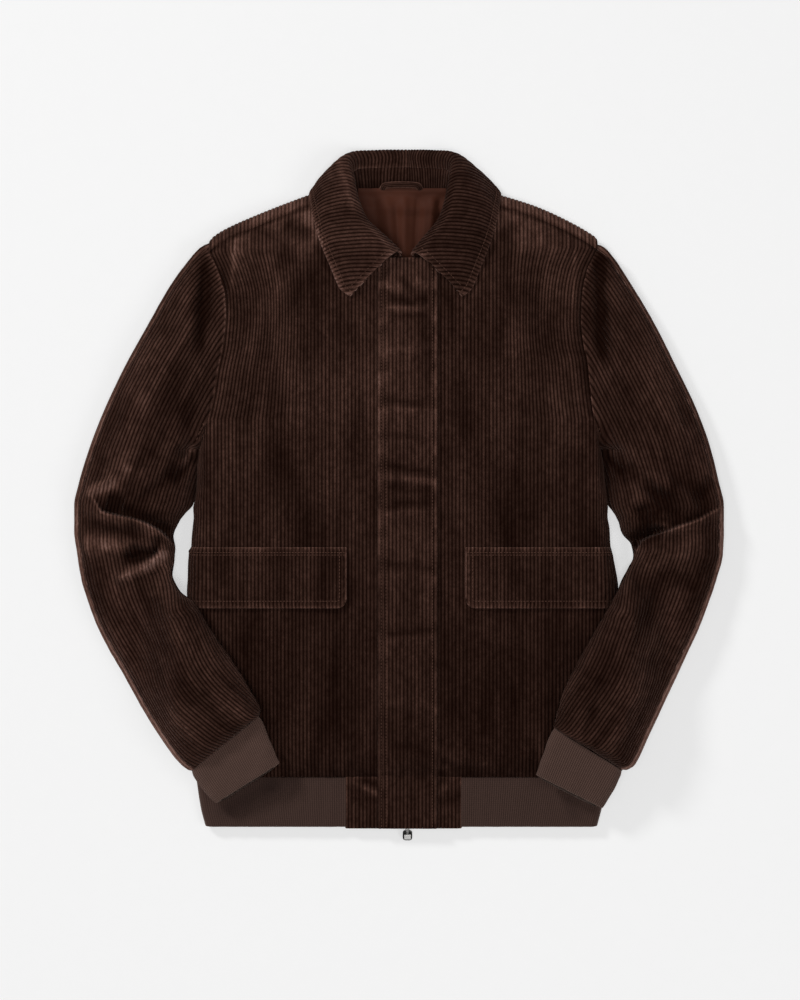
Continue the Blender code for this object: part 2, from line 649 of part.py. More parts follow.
def sleeve_surface(side, shares, tops, head_steps, rows):
    """Grid of a sleeve piece: the head from the armhole, then full rows down to the cuff."""
    shares = np.asarray(shares, float)
    tops = np.asarray(tops)
    start = armhole_start(side, shares)
    grid = []
    for step in range(head_steps):
        at = start + (rows[0] - start) * step / head_steps
        grid.append(np.stack(sleeve_point(side, at, shares, tops), axis=-1))
    for at in rows:
        grid.append(np.stack(sleeve_point(side, np.full_like(shares, at), shares, tops), axis=-1))
    return np.vstack(grid), len(grid)


def sleeve_piece(name, side, entries):
    """Sleeve piece from (share across, on top) columns; the first and last only guide the seams."""
    shares = [share for share, _ in entries]
    points, rows = sleeve_surface(side, shares, [top for _, top in entries], SLEEVE_HEAD_STEPS, SLEEVE_ROWS)
    columns = len(entries)
    every = facing(side, grid_faces(rows, columns))
    keep = [[0 < c < columns - 2 for c in range(columns - 1)] for _ in range(rows - 1)]
    inner = moved_in(points, every, CLOTH_WALL)
    wall(name, points, facing(side, grid_faces(rows, columns, keep)), CLOTH_WALL, inner=inner)


def make_sleeve(side):
    """Top sleeve over the arm and under sleeve below it, sewn along both edges."""
    seam = SLEEVE_TOP_ACROSS[0]
    top = [(share, True) for share in SLEEVE_TOP_ACROSS] + [(1.0, True)]
    under = [(share, False) for share in SLEEVE_UNDER_ACROSS] + [(0.0, False), (0.012, True)]
    first = (1.0 - SEAM_SHARE, False)
    last = (seam - SEAM_SHARE, True)
    sleeve_piece("sleeve_top_" + side, side, [under[-1]] + top + [under[0]])
    sleeve_piece("sleeve_under_" + side, side, [top[-2], first] + under + [last, top[1]])


def cuff_outline(side, at):
    """Closed section of a knit cuff lying across the hem."""
    rows = CUFF[side]
    index = np.arange(len(rows["thick"]), dtype=float)
    ox, oy, ix, iy, thick = (float(read(at, index, rows[name])) for name in rows)
    angle = np.linspace(0, 2 * math.pi, CUFF_OUTLINE)
    across = 0.5 - 0.5 * np.sign(np.cos(angle)) * np.abs(np.cos(angle)) ** 0.8
    x, y = ox + (ix - ox) * across, oy + (iy - oy) * across
    bow = 1.0 - np.abs(1.0 - 2.0 * across)
    half = thick / 2
    z = half + np.where(np.sin(angle) >= 0, 1, -1) * half * crown(bow / 0.3, 2.0)
    return np.stack([x, y, z + lay_rise(side, SIDES[side] * x, y)], axis=-1)


def evenly(path, count):
    """Points an even distance apart round a closed path."""
    run = np.concatenate([[0], np.cumsum(np.linalg.norm(np.diff(path, axis=0), axis=1))])
    at = np.linspace(0, run[-1], count, endpoint=False)
    return np.stack([np.interp(at, run, path[:, k]) for k in range(3)], axis=-1)


def make_cuff(side):
    """Knit cuff: a tube with ribs all round, raised over a plain inside."""
    first = cuff_outline(side, 0.0)
    girth = np.linalg.norm(np.diff(first, axis=0), axis=1).sum()
    count = 2 * round(girth / RIB_PITCH)
    rings = [evenly(cuff_outline(side, at), count) for at in CUFF_RINGS]
    smooth_tube = np.vstack(rings)
    faces = facing(side, ring_faces(len(rings), count))
    trough = np.tile(np.arange(count) % 2, len(rings))[:, None] * RIB_DEPTH
    normals = point_normals(smooth_tube, faces)
    wall("cuff_" + side, smooth_tube - normals * trough, faces, KNIT_WALL, "knit",
         inner=smooth_tube - normals * KNIT_WALL)


# ---------------------------------------------------------------- collar

def collar_stations(count):
    """Neck, roll and edge points of the collar from the right front round to the left front."""
    index = np.arange(len(COLLAR["bulge"]), dtype=float)
    half = np.linspace(0, index[-1], count)
    found = []
    for side, order in (("right", half), ("left", half[-2::-1])):
        row = {name: read(order, index, COLLAR[name]) for name in COLLAR}
        share = {"neck": ROLL_SHARE[side], "roll": ROLL_SHARE[side], "edge": EDGE_SHARE[side]}
        points = {key: np.stack([SIDES[side] * row[key + "_x"] * share[key], row[key + "_y"],
                                 row[key + "_z"]], axis=-1) for key in share}
        found.append((points["neck"], points["roll"], points["edge"], row["bulge"]))
    return [np.concatenate(pair) for pair in zip(*found)]


def unit(v):
    return v / np.maximum(np.linalg.norm(v, axis=-1, keepdims=True), 1e-9)


def collar_sections(count, shares):
    """Sections of the collar cloth from the neck seam over the roll to the free edge."""
    neck, roll, edge, bulge = collar_stations(count)
    down = unit(neck - roll)
    out = unit(edge - roll)
    middle = unit(down + out)
    spread = neck - edge
    spread = unit(spread - middle * np.sum(spread * middle, axis=-1, keepdims=True))
    inner = roll + (down + spread) * COLLAR_FOLD * 0.8
    outer = roll + (out - spread) * COLLAR_FOLD * 0.8
    half_way = (outer + edge) / 2
    along = unit(edge - outer)
    push = half_way - neck
    push = unit(push - along * np.sum(push * along, axis=-1, keepdims=True))
    fall = half_way + push * bulge[:, None]
    knots = np.stack([neck, neck * 0.5 + inner * 0.5, inner, roll, outer, fall, edge], axis=1)
    sections = []
    for section in knots:
        run = np.concatenate([[0], np.cumsum(np.linalg.norm(np.diff(section, axis=0), axis=1))])
        at = np.interp(shares, [0, 0.5, 1, 1.5, 2, 3, 4], run)
        sections.append(np.stack([spline(at, run, section[:, k]) for k in range(3)], axis=-1))
    sections = np.array(sections)
    sections[..., 2] = np.maximum(sections[..., 2], 0.0)
    return sections


def spline(at, xs, ys):
    """Curve through points with even tangents."""
    slope = np.gradient(ys, xs)
    i = np.clip(np.searchsorted(xs, at, side="right") - 1, 0, len(xs) - 2)
    step = xs[i + 1] - xs[i]
    t = (at - xs[i]) / step
    return (ys[i] * (1 + 2 * t) * (1 - t) ** 2 + slope[i] * step * t * (1 - t) ** 2
            + ys[i + 1] * t * t * (3 - 2 * t) - slope[i + 1] * step * t * t * (1 - t))


def make_collar():
    """Turned-over collar, and the stand that joins it to the neck."""
    sections = collar_sections(COLLAR_COUNT, np.array(FALL_SHARES))
    rows, columns = sections.shape[:2]
    wall("collar", sections.reshape(-1, 3), flip(grid_faces(rows, columns)), COLLAR_WALL)
    sections = collar_sections(COLLAR_COUNT, np.array(STAND_SHARES))
    rows, columns = sections.shape[:2]
    wall("collar_stand", sections.reshape(-1, 3), flip(grid_faces(rows, columns)), CLOTH_WALL)


# ---------------------------------------------------------------- pieces on the fronts

def make_flap(side):
    """Pocket flap; its outer end follows the side roll to the body's silhouette."""
    inner = FLAP_INNER[side]
    tops = [inner, inner + 0.3 * FLAP_CORNER, inner + FLAP_CORNER]
    tops += [c for c in front_columns(side) if c > inner + FLAP_CORNER]
    rolls = np.array([s for s in ROLL_SHARES if s < 0.5])
    x_top = np.array(tops)
    short = np.clip(1.0 - (x_top - inner) / FLAP_CORNER, 0.0, 1.0)
    corner = FLAP_CORNER * (1.0 - np.sqrt(1.0 - short ** 2))
    rows = []
    for y in (FLAP_LOW_Y, -87.0, FLAP_TOP_Y):
        y_top = y + corner * (y == FLAP_LOW_Y)
        x_roll, z_roll = side_roll(side, np.full_like(rolls, y), rolls)
        rows.append(place(side, np.concatenate([x_top, x_roll]), np.concatenate([y_top, y + 0 * rolls]),
                          np.concatenate([body_rise(side, x_top, y_top), z_roll])))
    base = np.vstack(rows)
    faces = facing(side, grid_faces(len(rows), len(tops) + len(rolls)))
    normals = point_normals(base, faces)
    wall("flap_" + side, base + normals * (LAY_GAP + FLAP_WALL), faces, FLAP_WALL,
         inner=base + normals * LAY_GAP)


def make_placket():
    """Strip over the closed front that hides the zip."""
    ys = [PLACKET_LOW_Y, HEM_SEAM_Y - 8.0, *LOW_ROWS, 110.0, 145.0, 180.0, 215.0, PLACKET_TOP_Y]
    xs = np.array([-PLACKET_HALF, -16.0, 0.0, 16.0, PLACKET_HALF])
    grid_x, grid_y = np.meshgrid(xs, np.array(ys))
    level = body_rise("left", np.abs(grid_x), grid_y)
    level = np.where(grid_y < HEM_SEAM_Y, HEM_TOP_RISE, level)
    low = np.stack([grid_x, grid_y, level + LAY_GAP], axis=-1).reshape(-1, 3)
    high = low + np.array([0, 0, PLACKET_WALL])
    wall("placket", high, grid_faces(len(ys), len(xs)), PLACKET_WALL, inner=low)


def zip_strip(name, half, drop, thickness, finish):
    """Strip down the centre front, its upper face a drop below the fronts' outer face."""
    ys = [ZIP_LOW_Y, HEM_SEAM_Y - 8.0, *LOW_ROWS, 160.0, ZIP_TOP_Y]
    xs = np.array([-half, half])
    grid_x, grid_y = np.meshgrid(xs, np.array(ys))
    level = body_rise("left", np.abs(grid_x), grid_y)
    level = np.where(grid_y < HEM_SEAM_Y, HEM_TOP_RISE, level)
    high = np.stack([grid_x, grid_y, level - drop], axis=-1).reshape(-1, 3)
    low = high - np.array([0, 0, thickness])
    wall(name, high, grid_faces(len(ys), len(xs)), thickness, finish, inner=low)


def make_zip():
    """Tape under the front edges and the closed chain on it."""
    zip_strip("zip_tape", TAPE_HALF, KNIT_WALL + SEAM_GAP, TAPE_WALL, "tape")
    zip_strip("zip_chain", ZIP_HALF, KNIT_WALL - ZIP_WALL, ZIP_WALL, "metal")


def box(name, low, high, finish, bevel=0.0):
    """Box between two corners, in millimetres, with rounded edges."""
    middle = [(a + b) / 2 * MM for a, b in zip(low, high)]
    mesh = bpy.data.meshes.new(name)
    shape = bmesh.new()
    bmesh.ops.create_cube(shape, size=1.0)
    size = [(b - a) * MM for a, b in zip(low, high)]
    bmesh.ops.scale(shape, vec=size, verts=shape.verts)
    bmesh.ops.translate(shape, vec=middle, verts=shape.verts)
    if bevel:
        bmesh.ops.bevel(shape, geom=shape.edges[:], offset=bevel * MM, segments=2, affect="EDGES")
    shape.to_mesh(mesh)
    shape.free()
    mesh.materials.append(material(finish))
    made = bpy.data.objects.new(name, mesh)
    bpy.data.collections["Corduroy jacket"].objects.link(made)
    return made


def make_slider():
    """Zip slider, stopped at the chain's lower end."""
    box("zip_slider", SLIDER_LOW, SLIDER_HIGH, "metal", bevel=0.9)


def make_pull():
    """Pull tab, hinged at the slider and hanging from it until its tip nearly meets the table."""
    slope = math.atan2(PULL_DROP, PULL_LENGTH)
    mesh = bpy.data.meshes.new("zip_pull")
    shape = bmesh.new()
    half = list(zip(PULL_HALF_OUTLINE["x"].tolist(), PULL_HALF_OUTLINE["along"].tolist()))
    outline = [(-half[0][0], half[0][1])] + half + [(-x, along) for x, along in half[:0:-1]]
    rings = []
    for lift in (-PULL_WALL / 2, PULL_WALL / 2):
        ring = []
        for x, along in outline:
            y = along * math.cos(slope) - lift * math.sin(slope)
            z = along * math.sin(slope) + lift * math.cos(slope)
            ring.append(shape.verts.new((x * MM, y * MM, z * MM)))
        rings.append(ring)
    low, high = rings
    shape.faces.new(low)
    shape.faces.new(list(reversed(high)))
    for i in range(len(outline)):
        j = (i + 1) % len(outline)
        shape.faces.new((low[j], low[i], high[i], high[j]))
    bmesh.ops.recalc_face_normals(shape, faces=shape.faces)
    shape.to_mesh(mesh)
    shape.free()
    mesh.materials.append(material("metal"))
    made = bpy.data.objects.new("zip_pull", mesh)
    made.location = [c * MM for c in PULL_AXIS]
    bpy.data.collections["Corduroy jacket"].objects.link(made)


# ---------------------------------------------------------------- hem, lining, loop


def hem_section(y):
    """Outer face of the hem at one height: front, fold, back, fold, front, and its rib troughs."""
    points = []
    turn = np.linspace(0, math.pi, 7)[1:-1]
    half = HEM_TOP_RISE / 2
    for side in ("right", "left"):
        width = float(half_width(side, np.array(y)))
        start = TAB_EDGE[side] + SEAM_GAP / 2
        end = width - HEM_ROUND
        count = 2 * round((float(half_width(side, np.array(HEM_SEAM_Y))) - HEM_ROUND - start) / RIB_PITCH)
        run = [(x, HEM_TOP_RISE, k % 2) for k, x in enumerate(np.linspace(start, end, count))]
        run += [(end + HEM_ROUND * math.sin(a), half + half * math.cos(a), 0) for a in turn]
        run += [(x, 0.0, 0) for x in np.linspace(end, 60.0, 4)]
        run = [(SIDES[side] * x, y, z, trough) for x, z, trough in run]
        points += run if side == "right" else list(reversed(run))
    return points


def make_hem():
    """Knit band round the hem, and the corduroy tabs that finish it at the zip."""
    sections = np.array([hem_section(y) for y in HEM_ROWS])
    faces = grid_faces(sections.shape[0], sections.shape[1])
    level = sections[..., :3].reshape(-1, 3)
    trough = sections[..., 3].reshape(-1, 1) * np.array([0, 0, RIB_DEPTH])
    wall("hem_rib", level - trough, faces, KNIT_WALL, "knit", inner=moved_in(level, faces, KNIT_WALL))
    for side in SIDES:
        xs = np.array([CENTRE_GAP, 30.0, TAB_EDGE[side] - SEAM_GAP / 2])
        grid_x, grid_y = np.meshgrid(xs, np.array(HEM_ROWS[::-1]))
        high = place(side, grid_x, grid_y, np.full_like(grid_x, HEM_TOP_RISE))
        low = place(side, grid_x, grid_y, np.full_like(grid_x, HEM_TOP_RISE - KNIT_WALL))
        wall("hem_tab_" + side, high, facing(side, grid_faces(len(HEM_ROWS), len(xs))), KNIT_WALL, inner=low)


def make_lining():
    """Lining of the upper back, where the open neck shows it."""
    rows = []
    shares = np.linspace(-1, 1, 9)
    for y in LINING_ROWS:
        low_half = LINING_HALF - (LINING_HALF - LINING_NECK_HALF) * float(smooth((y - 255.0) / 50.0))
        x = np.where(shares < 0, shares * low_half, shares * low_half * ROLL_SHARE["left"])
        floor = back_floor("right", np.abs(x), np.full_like(x, y)) + CLOTH_WALL + LINING_GAP
        ends = smooth((y - LINING_ROWS[0]) / 30.0) * smooth((LINING_ROWS[-1] - y) / 30.0)
        puff = LINING_PUFF * (1 - shares ** 2) * float(ends)
        rows.append(np.stack([x, np.full_like(x, y), floor + puff + LINING_WALL], axis=-1))
    points = np.vstack(rows)
    wall("back_lining", points, grid_faces(len(LINING_ROWS), len(shares)), LINING_WALL, "lining",
         inner=points - np.array([0, 0, LINING_WALL]))


def make_hanger_loop():
    """Loop across the back of the neck, a little above the stand it is sewn to."""
    shares = np.linspace(0, 1, 9)
    bow = np.sin(math.pi * shares)
    rows = []
    for inset in LOOP_INSETS:
        y = LOOP_Y + inset + LOOP_BOW * bow
        z = LOOP_RISE + LOOP_SLOPE * inset + LOOP_ARCH * bow + LOOP_WALL
        rows.append(np.stack([LOOP_START_X + LOOP_LENGTH * shares, y, z], axis=-1))
    points = np.vstack(rows)
    wall("hanger_loop", points, grid_faces(len(LOOP_INSETS), len(shares)), LOOP_WALL,
         inner=points - np.array([0, 0, LOOP_WALL]))


def start_scene():
    for old in list(bpy.data.objects):
        bpy.data.objects.remove(old)
    collection = bpy.data.collections.new("Corduroy jacket")
    bpy.context.scene.collection.children.link(collection)


def main():
    start_scene()
    make_back()
    for side in SIDES:
        make_front(side)
        make_sleeve(side)
        make_cuff(side)
        make_flap(side)
    make_placket()
    make_collar()
    make_hem()
    make_lining()
    make_hanger_loop()
    make_zip()
    make_slider()
    make_pull()


main()
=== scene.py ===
# %% [markdown]
# # A corduroy jacket, closed and laid flat
# The packed model holds the jacket's solids. They give the places and sizes. This lesson dresses
# them: each cloth piece becomes a fine grid that follows its solid, with the cords of the corduroy
# as real relief, and each finish is a small set of nodes.

# %% Start from the packed model
import json
import math

import bmesh
import bpy
import numpy as np
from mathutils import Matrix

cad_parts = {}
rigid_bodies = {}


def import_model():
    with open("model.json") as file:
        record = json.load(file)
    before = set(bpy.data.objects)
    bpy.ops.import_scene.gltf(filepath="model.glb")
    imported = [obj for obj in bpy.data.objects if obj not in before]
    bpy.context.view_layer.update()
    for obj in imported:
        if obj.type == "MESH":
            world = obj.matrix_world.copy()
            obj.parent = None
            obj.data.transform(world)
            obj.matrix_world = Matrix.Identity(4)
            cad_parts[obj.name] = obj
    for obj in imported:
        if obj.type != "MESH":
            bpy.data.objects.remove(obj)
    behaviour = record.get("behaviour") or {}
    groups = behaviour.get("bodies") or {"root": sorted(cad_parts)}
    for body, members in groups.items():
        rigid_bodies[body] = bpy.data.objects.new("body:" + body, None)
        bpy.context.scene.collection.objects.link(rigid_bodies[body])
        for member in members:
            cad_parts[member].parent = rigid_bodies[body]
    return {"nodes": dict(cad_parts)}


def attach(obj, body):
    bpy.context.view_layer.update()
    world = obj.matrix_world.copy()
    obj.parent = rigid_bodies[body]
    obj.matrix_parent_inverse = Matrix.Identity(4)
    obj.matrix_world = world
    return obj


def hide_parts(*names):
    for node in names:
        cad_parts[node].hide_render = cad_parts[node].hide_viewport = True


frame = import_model()
bpy.ops.object.select_all(action="DESELECT")
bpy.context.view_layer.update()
MM = 0.001
print("nodes:", len(frame["nodes"]))

# %% [markdown]
# ## Camera
# A jacket laid flat is looked at from straight above. A long lens far away keeps the sleeves from
# leaning outwards.

# %% Camera
PICTURE_HEIGHT = 1.05
CAMERA_CENTRE = (-0.0079, -0.0058)
LENS = 120.0
SENSOR = 36.0
CLOTH_HEIGHT = 0.022


def placed(name, data):
    """New object in the scene."""
    made = bpy.data.objects.new(name, data)
    bpy.context.scene.collection.objects.link(made)
    return made


camera_data = bpy.data.cameras.new("camera")
camera_data.lens = LENS
camera_data.sensor_width = SENSOR
camera = placed("camera", camera_data)
camera.location = (*CAMERA_CENTRE, CLOTH_HEIGHT + PICTURE_HEIGHT * LENS / SENSOR)
bpy.context.scene.camera = camera
bpy.context.scene.view_settings.view_transform = "Standard"
print("camera height:", round(camera.location.z, 3))

# %% [markdown]
# ## Sums as plain Python
# A finish is easier to read as `0.4 + pile * 0.5` than as a row of Math nodes. This small class
# wraps a socket, and each operator adds the Math node that it needs.

# %% Shader sums
class Number:
    """A varying number in a finish."""

    def __init__(self, finish, socket):
        self.finish = finish
        self.socket = socket

    def maths(self, operation, *others):
        inputs = dict(enumerate((self, *others)))
        node = self.finish.add("ShaderNodeMath", {"operation": operation}, inputs)
        return self.finish.number(node)

    def __add__(self, other):
        return self.maths("ADD", other)

    __radd__ = __add__

    def __sub__(self, other):
        return self.maths("SUBTRACT", other)

    def __mul__(self, other):
        return self.maths("MULTIPLY", other)

    def power(self, other):
        return self.maths("POWER", other)

    def clamped(self):
        return self.maths("MAXIMUM", 0.0).maths("MINIMUM", 1.0)

    def arch(self):
        """Half a sine wave over each whole step of the number."""
        return (self.maths("FRACT") * math.pi).maths("SINE")

    def ripple(self):
        """Sine wave between 0 and 1."""
        return self.maths("SINE") * 0.5 + 0.5


print("shader sums ready")

# %% [markdown]
# ## A finish
# A finish is one material. One method adds any node, and the others name the groups of nodes that
# come up again: the cloth's own measures, noise, a mix of two colours and a bump.

# %% Finish of a piece
class Finish:
    """A material, and one method that adds any node to it."""

    def __init__(self, name, **fixed):
        self.material = bpy.data.materials.new(name)
        self.material.use_nodes = True
        self.tree = self.material.node_tree
        self.shader = self.tree.nodes["Principled BSDF"]
        self.shows(**fixed)

    def add(self, kind, settings=None, inputs=None):
        node = self.tree.nodes.new(kind)
        for key, value in (settings or {}).items():
            setattr(node, key, value)
        for key, value in (inputs or {}).items():
            self.join(value, node.inputs[key])
        return node

    def join(self, value, socket):
        value = value.socket if isinstance(value, Number) else value
        if isinstance(value, bpy.types.NodeSocket):
            self.tree.links.new(value, socket)
        else:
            socket.default_value = value

    def shows(self, **inputs):
        for socket, value in inputs.items():
            self.join(value, self.shader.inputs[socket.replace("_", " ")])

    def number(self, node, output=0):
        return Number(self, node.outputs[output])

    def cloth_place(self):
        """The UV map, and its measures across and along the cords."""
        uv = self.add("ShaderNodeUVMap", {"uv_map": "cloth"}).outputs[0]
        parts = self.add("ShaderNodeSeparateXYZ", None, {0: uv})
        return uv, self.number(parts, "X"), self.number(parts, "Y")

    # Per-point painted light, painted shade and wear that scale the finish's colour.
    def nap(self):
        return self.number(self.add("ShaderNodeAttribute", {"attribute_name": "nap"}), "Fac")

    def noise(self, place, scale, detail=2.0):
        inputs = {"Vector": place, "Scale": scale, "Detail": detail}
        return self.number(self.add("ShaderNodeTexNoise", None, inputs), "Fac")

    def drawn_noise(self, place, across, along, detail):
        """Noise that is stretched differently across and along."""
        inputs = {"Vector": place, "Scale": (across, along, 1.0)}
        return self.noise(self.add("ShaderNodeMapping", None, inputs).outputs[0], 1.0, detail)

    def solid_noise(self, scale, detail=2.0):
        return self.noise(self.add("ShaderNodeTexCoord").outputs["Object"], scale, detail)

    def mixed(self, factor, first, second):
        node = self.add("ShaderNodeMix", {"data_type": "RGBA"}, {0: factor, 6: first, 7: second})
        return node.outputs[2]

    def bump(self, height, strength, distance):
        inputs = {"Height": height, "Strength": strength, "Distance": distance}
        self.shows(Normal=self.add("ShaderNodeBump", None, inputs).outputs[0])


def rgb(red, green, blue):
    return (red, green, blue, 1.0)


print("ways to build a finish:", sum(not name.startswith("_") for name in vars(Finish)))

# %% [markdown]
# ## Corduroy
# Corduroy is velvet cut in cords. The crest of a cord is a brush of fibre ends, which catch light
# at its sides, and between the cords the colour is nearly black: the dark bare ground with painted
# shade in the grooves. The grid's own measures, across and along the cords, are kept as a UV map,
# so the colour lies on the modelled cords. The pile is fine noise drawn out along them, and a
# velvet sheen is a fixed number on the shader. Where a point's painted light is high, the grooves
# fill in and the cords turn to a painted highlight colour.

# %% Corduroy finish
CREST = rgb(0.094, 0.046, 0.034)
# Near-black between the cords: the dark bare ground with painted shade in the grooves.
GROUND_AND_GROOVE_SHADE = rgb(0.0042, 0.0011, 0.0005)
# Painted highlight colour for the most lit cords.
PAINTED_HIGHLIGHT = rgb(0.215, 0.124, 0.102)
CREST_LIGHT = 1.46
PAINTED_HIGHLIGHT_FROM = 0.92
PAINTED_FILL_FROM = 1.2


def corduroy():
    finish = Finish("brown_corduroy", Roughness=0.9, Sheen_Weight=0.12, Sheen_Roughness=0.35,
                    Sheen_Tint=rgb(0.9, 0.62, 0.54), Specular_IOR_Level=0.0)
    uv, across, _ = finish.cloth_place()
    swing = across.arch()
    nap = finish.nap()

    def cloud(scale_across, scale_along, detail, contrast):
        noise = finish.drawn_noise(uv, scale_across, scale_along, detail)
        return ((noise - 0.5) * contrast + 0.5).clamped()

    pile = cloud(6.0, 1.6, 2.0, 2.4)
    smudge = cloud(0.6, 0.5, 4.0, 2.4)
    streak = cloud(0.95, 0.03, 3.0, 2.8)
    patch = cloud(0.13, 0.035, 5.0, 2.2)
    level = (0.4 + pile * 0.5) * (0.52 + smudge * 0.54)
    level = level * (0.50 + streak * 0.38) * (0.30 + patch * 1.0)
    # Where the painted light is high, the grooves are filled in: painted highlight over the cords.
    painted_groove_fill = (nap - PAINTED_FILL_FROM).clamped() * 0.4
    crested = (0.055 + swing.power(1.3) * 0.93 + painted_groove_fill) * level * CREST_LIGHT * nap
    painted_highlight = ((crested - PAINTED_HIGHLIGHT_FROM) * 0.62).clamped()
    # The mix from crest to ground puts painted shade in the grooves.
    cloth = finish.mixed(crested.clamped(), GROUND_AND_GROOVE_SHADE, CREST)
    finish.shows(Base_Color=finish.mixed(painted_highlight, cloth, PAINTED_HIGHLIGHT))
    finish.bump(pile * 0.4 + smudge * 0.35 + swing * 0.25, 0.7, 0.0009)
    return finish.material


FINISHES = {"corduroy": corduroy()}
print("made", FINISHES["corduroy"].name)

# %% [markdown]
# ## Knit, lining, tape, thread and metal
# The hem and cuffs are rib knit: each rib is modelled, and the small stitches on it are bump. The
# lining is a smooth twill. The zip tape is a plain dark weave, and the metal is worn dark nickel.
# A plain finish wanders between two colours by a fine noise.

# %% Other finishes
STITCHES_TO_RIB = 2.4


def stitched_knit():
    finish = Finish("rib_knit", Roughness=0.95, Sheen_Weight=0.25, Sheen_Roughness=0.5,
                    Sheen_Tint=rgb(0.8, 0.6, 0.52), Specular_IOR_Level=0.1)
    uv, across, along = finish.cloth_place()
    rib = across.arch()
    lean = across.maths("PINGPONG", 0.5) * 1.2
    stitch = (along * (STITCHES_TO_RIB * math.pi) + lean * math.pi).ripple()
    fibre = finish.drawn_noise(uv, 5.0, 5.0, 3.0)
    # The dark between the ribs is painted shade in the grooves.
    light = (0.3 + rib * 0.62) * (0.6 + stitch * 0.3) * (0.6 + fibre * 0.8) * finish.nap()
    finish.shows(Base_Color=finish.mixed(light.clamped(), rgb(0.020, 0.010, 0.008),
                                         rgb(0.105, 0.060, 0.047)))
    finish.bump(stitch * 0.6 + fibre * 0.4, 0.6, 0.0005)
    return finish.material


def twill_lining():
    finish = Finish("twill_lining", Roughness=0.6, Sheen_Weight=0.05,
                    Sheen_Tint=rgb(0.9, 0.4, 0.3), Specular_IOR_Level=0.06)
    uv, across, along = finish.cloth_place()
    line = ((across * 9.0 + along * 9.0) * math.pi).ripple()
    tint = (line * 0.3 + finish.noise(uv, 0.3, 3.0) * 0.7).clamped()
    finish.shows(Base_Color=finish.mixed(tint, rgb(0.034, 0.0095, 0.0052),
                                         rgb(0.074, 0.024, 0.0135)))
    finish.bump(line, 0.12, 0.0002)
    return finish.material


def worn_metal():
    finish = Finish("worn_nickel", Metallic=1.0)
    scratch = finish.solid_noise(900.0, 4.0)
    tint = finish.mixed(finish.solid_noise(220.0), rgb(0.16, 0.157, 0.15), rgb(0.72, 0.71, 0.69))
    finish.shows(Base_Color=tint, Roughness=scratch * 0.3 + 0.18)
    finish.bump(scratch, 0.1, 0.0002)
    return finish.material


def plain(name, first, second, scale, detail=2.0, bump=None, **fixed):
    """Finish that wanders between two colours; bump is its strength and distance."""
    finish = Finish(name, **fixed)
    cloud = finish.solid_noise(scale, detail)
    finish.shows(Base_Color=finish.mixed(cloud, first, second))
    if bump:
        finish.bump(cloud, *bump)
    return finish.material


FINISHES["knit"] = stitched_knit()
FINISHES["lining"] = twill_lining()
FINISHES["tape"] = plain("woven_tape", rgb(0.006, 0.004, 0.003), rgb(0.030, 0.018, 0.014), 1800.0,
                         bump=(0.4, 0.0003), Roughness=0.9, Specular_IOR_Level=0.15)
FINISHES["metal"] = worn_metal()
FINISHES["dark_metal"] = plain("dark_nickel", rgb(0.022, 0.022, 0.021), rgb(0.075, 0.074, 0.072),
                               260.0, Metallic=1.0, Roughness=0.38)
FINISHES["satin_metal"] = plain("satin_nickel", rgb(0.60, 0.59, 0.57), rgb(0.92, 0.91, 0.89),
                                420.0, 3.0, Metallic=0.3, Roughness=0.5)
FINISHES["thread"] = plain("sewing_thread", rgb(0.040, 0.018, 0.012), rgb(0.125, 0.062, 0.045),
                           1500.0, Roughness=0.8, Specular_IOR_Level=0.05)
print("finishes:", ", ".join(FINISHES))

# %% [markdown]
# ## Sides and tables
# The jacket's sizes are the same as the solids have, in millimetres from the centre front outwards,
# and each is set where it is first needed. What differs between the sides has one value for each:
# "right" and "left" are the wearer's. A shape that follows no simple rule is a short table of
# points, and soft folds are a table of lines, each with its width and rise.

# %% Sides and tables
SIDES = {"right": -1, "left": 1}


def table(columns, *rows):
    """Short table with named columns."""
    return {name: np.array([row[i] for row in rows], float)
            for i, name in enumerate(columns.split())}


def lines(*rows):
    """Table of soft folds, or of painted light and shade, along lines."""
    return table("x0 y0 x1 y1 width rise", *rows)


print("sides:", ", ".join(SIDES))

# %% [markdown]
# ## Curves through the tables
# `read` draws a smooth curve through a table's points. `crown` is the rounded profile of the
# puffed edges. `folds` adds soft ridges and troughs along lines, and `lip` a fold that hangs over.

# %% Curves
CROWN_POWER = 2.3


def smooth(t):
    """Soft step from 0 to 1."""
    t = np.clip(t, 0.0, 1.0)
    return t * t * (3.0 - 2.0 * t)


def curve(at, xs, ys, slope):
    """Curve through points, with a given slope at each."""
    i = np.clip(np.searchsorted(xs, at, side="right") - 1, 0, len(xs) - 2)
    step = xs[i + 1] - xs[i]
    t = (at - xs[i]) / step
    return (ys[i] * (1 + 2 * t) * (1 - t) ** 2 + slope[i] * step * t * (1 - t) ** 2
            + ys[i + 1] * t * t * (3 - 2 * t) - slope[i + 1] * step * t * t * (1 - t))


def read(at, xs, ys):
    """Smooth curve through a table's points that never overshoots them."""
    slope = np.diff(ys) / np.diff(xs)
    tangent = np.zeros(len(xs))
    tangent[0], tangent[-1] = slope[0], slope[-1]
    same_way = slope[:-1] * slope[1:] > 0
    mean = 2 * slope[:-1] * slope[1:] / np.where(same_way, slope[:-1] + slope[1:], 1.0)
    tangent[1:-1] = np.where(same_way, mean, 0.0)
    return curve(np.clip(np.asarray(at, float), xs[0], xs[-1]), xs, ys, tangent)


def read_row(at, rows):
    """Every column of a table, read between its rows."""
    index = np.arange(len(next(iter(rows.values()))), dtype=float)
    return {name: read(at, index, rows[name]) for name in rows}


def crown(share, power=CROWN_POWER):
    """Rounded edge: 0 at share 0 with an upright tangent, 1 and level from share 1 on."""
    share = np.clip(share, 0.0, 1.0)
    return (1.0 - (1.0 - share) ** power) ** (1.0 / power)


